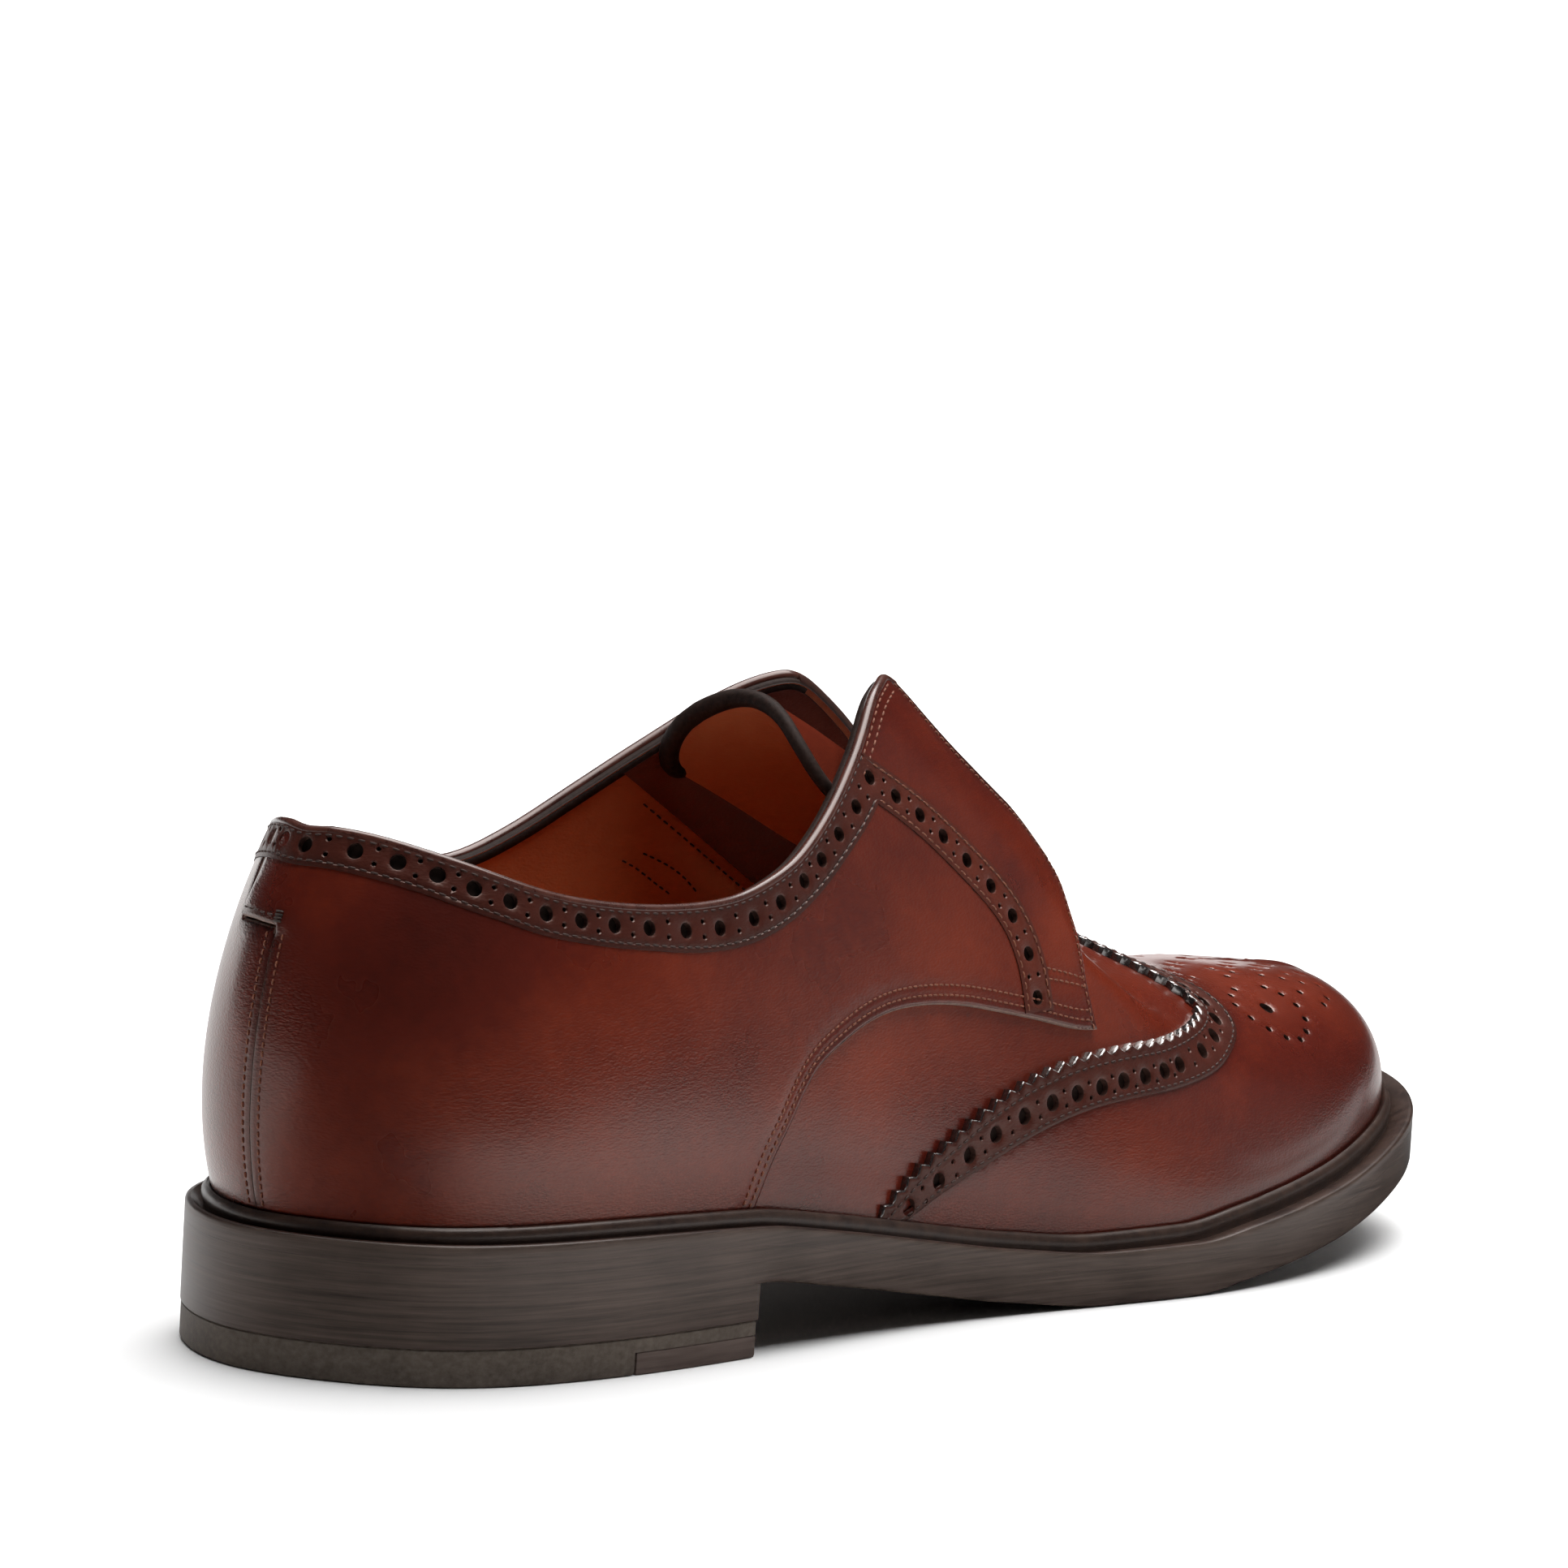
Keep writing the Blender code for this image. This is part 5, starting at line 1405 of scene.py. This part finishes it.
def makeInsole():
    thick = soleCut["insoleThick"]
    rim = raised(featherIn, soleCut["insoleIn"])
    floor = raised(soleTop, soleCut["insoleUp"])
    rows = ((0.0, 0.0), (0.0, thick - 0.5), (0.5, thick), (9.0, thick))
    rings = [edgeRing(raised(rim, inset), raised(floor, up)) for inset, up in rows]
    piece = ringPiece("insoleSock", rings, [insoleSkin], [0] * len(rings), False)
    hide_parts("insole")


def heelLoop(rearX, breastX, inset):  # plan loop of a heel layer: round at the back, or cut straight at rearX
    fine = np.linspace(0.0, 0.5, 1600)
    sides = []
    for side in (-1, 1):
        p = soleEdge(side, fine, inset)
        breastU = np.interp(breastX, p[:, 0], fine)
        if rearX is None:
            stops = breastU * np.linspace(0, 1, 90) ** 1.25  # closer together round the back
        else:
            stops = np.linspace(np.interp(rearX, p[:, 0], fine), breastU, 70)
        sides.append(soleEdge(side, stops, inset))
    outer, inner = sides
    return np.r_[inner[::-1], outer[1:] if rearX is None else outer]


def heelLayer(name, layers, materials, smoothAngle=35):
    # each layer: rear x or None for the round back, breast x, rows of (inset, height of the row at x)
    verts = []
    faces = []
    base = 0
    for rearX, breastX, rows in layers:
        rings = []
        for inset, height in rows:
            p = heelLoop(None if rearX is None else rearX + inset, breastX - inset, inset)
            z = height(p[:, 0]) if callable(height) else np.full(len(p), height)
            rings.append(np.c_[p, z])
        size = len(rings[0])
        faces += bandFaces(len(rings), size, base)
        faces.append(tuple(base + i for i in reversed(range(size))))
        faces.append(tuple(base + (len(rings) - 1) * size + i for i in range(size)))
        verts += rings
        base += size * len(rings)
    return addPiece(name, np.concatenate(verts), faces, materials, None, smoothAngle)


def makeHeel():
    spec = soleCut
    breast, lift, thin = spec["heelBreast"], spec["liftThick"], spec["insertThick"]
    stack = heelLayer("heelStack", [
        (None, breast, [(0.2, lift + 0.02), (0.03, lift + 0.2), (0.0, soleRise)]),
    ], [soleSide])
    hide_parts("heel_stack")
    rubber = heelLayer("heelLift", [
        (None, spec["insertX"], [(0.9, 0.0), (0.4, 0.2), (0.2, 0.7), (0.2, thin + 0.31)]),
        (None, breast - 0.2, [(0.2, thin + 0.3), (0.2, lift - 0.3), (0.45, lift)]),
    ], [liftRubber])
    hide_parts("heel_lift")
    corner = heelLayer("heelLiftInsert", [
        (spec["insertX"] + 0.1, breast - 0.2,
         [(0.6, 0.0), (0.3, 0.2), (0.2, 0.6), (0.2, thin), (0.4, thin + 0.2)]),
    ], [liftCorner])
    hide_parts("heel_lift_insert")


makeWelt()
makeOutsole()
makeInsole()
makeHeel()
makeThreads("seamThread", "copper", copperThread)
makeThreads("stripThread", "brown", brownThread)
makeThreads("tackThread", "dark", darkThread)
print("sole, heel and threads done")

# Stage: white paper, soft light, the camera low behind the outer side
stageSet = {
    "half": 3.0, "bendFrom": 1.8, "bend": 0.8, "high": 2.5, "way": (0.746, 0.666),
    # place, aimed at, width and height, watts, spread in degrees
    "overheadBox": ((0.40, -0.05, 1.25), (0.40, -0.05, 0.0), (1.3, 1.3), 18.5, 130),
    "backdropBox": ((1.2, 1.07, 2.2), (1.9, 1.7, 0.6), (2.4, 1.2), 80.0, 140),
    "rightCard": ((1.36, -0.78, 0.45), (0.1, 0.0, 0.05), (0.8, 0.8), 0.3, 180),
    "camera": (-0.931414, -0.912639, 0.266378), "aim": (82.778, -3.391, -47.804), "lens": 174.485,
}
# light of the paper as the polish shows it
shineSet = {
    # x, y, reach, strength along a soft band in front of the shoe
    "band": [(0.02, -0.18, 0.10, 1.7), (0.15, -0.22, 0.12, 1.7), (0.30, -0.34, 0.14, 1.5),
             (0.43, -0.52, 0.14, 1.1), (0.58, -0.80, 0.18, 0.70), (1.00, -1.10, 0.30, 0.50),
             (1.60, -1.70, 0.50, 0.40)],
    "shade": (-0.06, 0.03),  # y of the shoe's own shade on the paper, how softly it ends
    "beside": (0.12, -0.20, 1.2),  # x where the strip beside the toe's sole starts, its far y, strength
    "behind": (-0.02, 0.08, 1.1),  # y where the paper behind the shoe starts, how softly, strength
    # low bright walls: from x, y to x, y, height, strength
    "walls": [(1.36, 0.85, -0.14, 1.59, 0.20, 1.6), (1.50, -0.05, 1.27, -0.79, 0.12, 1.0)],
}
whitePaper, tree, shader = newMaterial("whitePaper")
fill(tree, shader, {"Base Color": (0.9, 0.9, 0.9, 1.0), "Roughness": 0.9})
paperShine, tree, shader = newMaterial("paperShine")
fill(tree, shader, {
    "Base Color": (0.0, 0.0, 0.0, 1.0),
    "Specular IOR Level": 0.0,
    "Emission Color": (1.0, 1.0, 1.0, 1.0),
    "Emission Strength": pointValue(tree, "glow"),
})


def onPaper(along, aside):  # plan place from a distance away from the camera and one to the left
    x, y = stageSet["way"]
    return (along * x - aside * y, along * y + aside * x)


def laySheet(name, verts, faces, material):
    mesh = bpy.data.meshes.new(name)
    mesh.from_pydata(verts, [], faces)
    mesh.polygons.foreach_set("use_smooth", np.ones(len(faces), bool))
    mesh.materials.append(material)
    sheet = bpy.data.objects.new(name, mesh)
    bpy.context.scene.collection.objects.link(sheet)
    return sheet


def makePaper():
    half, far, bend = stageSet["half"], stageSet["bendFrom"], stageSet["bend"]
    rows = [(-half, 0.0), (0.0, 0.0)]
    for k in range(13):
        angle = k * math.pi / 24
        rows.append((far + bend * math.sin(angle), bend - bend * math.cos(angle)))
    rows.append((far + bend, stageSet["high"]))
    verts = [(*onPaper(d, s), z) for d, z in rows for s in (-half, half)]
    faces = [(2 * i, 2 * i + 2, 2 * i + 3, 2 * i + 1) for i in range(len(rows) - 1)]
    laySheet("paper", verts, faces, whitePaper).visible_glossy = False


def soft(x):
    x = np.clip(x, 0, 1)
    return x * x * (3 - 2 * x)


def makeShine():
    spec = shineSet
    band = np.array(spec["band"])
    stops = np.linspace(0, len(band) - 1, 120)
    band = np.stack([np.interp(stops, np.arange(len(band)), band[:, k]) for k in range(4)], -1)
    xs = np.arange(-1.5, 2.6, 0.03)
    ys = np.arange(-2.4, 2.0, 0.03)
    x, y = (g.ravel() for g in np.meshgrid(xs, ys))
    level = np.zeros(len(x))
    for bx, by, reach, strength in band:
        level = np.maximum(level, strength * np.exp(-((x - bx) ** 2 + (y - by) ** 2) / reach ** 2))
    beside = spec["beside"]
    level = np.maximum(level, beside[2] * soft((x - beside[0]) / 0.1) * soft((y - beside[1]) / 0.05))
    level *= soft((spec["shade"][0] - y) / spec["shade"][1])
    first, over, strength = spec["behind"]
    level = np.maximum(level, strength * soft((y - first) / over))
    wide = len(xs)
    faces = []
    for j in range(len(ys) - 1):
        for k in range(j * wide, j * wide + wide - 1):
            faces.append((k, k + 1, k + wide + 1, k + wide))
    verts = np.c_[x, y, np.full(len(x), 0.0005)].tolist()
    level = level.tolist()
    for x0, y0, x1, y1, high, strength in spec["walls"]:
        base = len(verts)
        verts += [(x0, y0, 0.0), (x1, y1, 0.0), (x1, y1, high), (x0, y0, high)]
        faces.append((base, base + 1, base + 2, base + 3))
        level += [strength] * 4
    sheet = laySheet("paperShine", verts, faces, paperShine)
    paintPoints(sheet, "glow", level)
    sheet.visible_camera = False
    sheet.visible_diffuse = False
    sheet.visible_transmission = False
    sheet.visible_shadow = False


def softbox(name):
    place, target, size, watts, spread = stageSet[name]
    lamp = bpy.data.lights.new(name, "AREA")
    lamp.shape = "RECTANGLE"
    lamp.size, lamp.size_y = size
    lamp.energy = watts
    lamp.spread = math.radians(spread)
    box = bpy.data.objects.new(name, lamp)
    box.location = place
    box.rotation_euler = (Vector(target) - Vector(place)).to_track_quat("-Z", "Y").to_euler()
    bpy.context.scene.collection.objects.link(box)


makePaper()
makeShine()
for name in ("overheadBox", "backdropBox", "rightCard"):
    softbox(name)
world = bpy.data.worlds.new("studioAir")
world.use_nodes = True
world.node_tree.nodes["Background"].inputs["Color"].default_value = (1.0, 1.0, 1.0, 1.0)
world.node_tree.nodes["Background"].inputs["Strength"].default_value = 0.02
bpy.context.scene.world = world
bpy.context.scene.view_settings.view_transform = "Standard"

lens = bpy.data.cameras.new("photoCamera")
lens.lens = stageSet["lens"]
lens.sensor_width = 36.0
lens.clip_start = 0.05
lens.clip_end = 50.0
camera = bpy.data.objects.new("photoCamera", lens)
camera.location = stageSet["camera"]
camera.rotation_euler = [math.radians(a) for a in stageSet["aim"]]
bpy.context.scene.collection.objects.link(camera)
bpy.context.scene.camera = camera

print("stage and camera done")
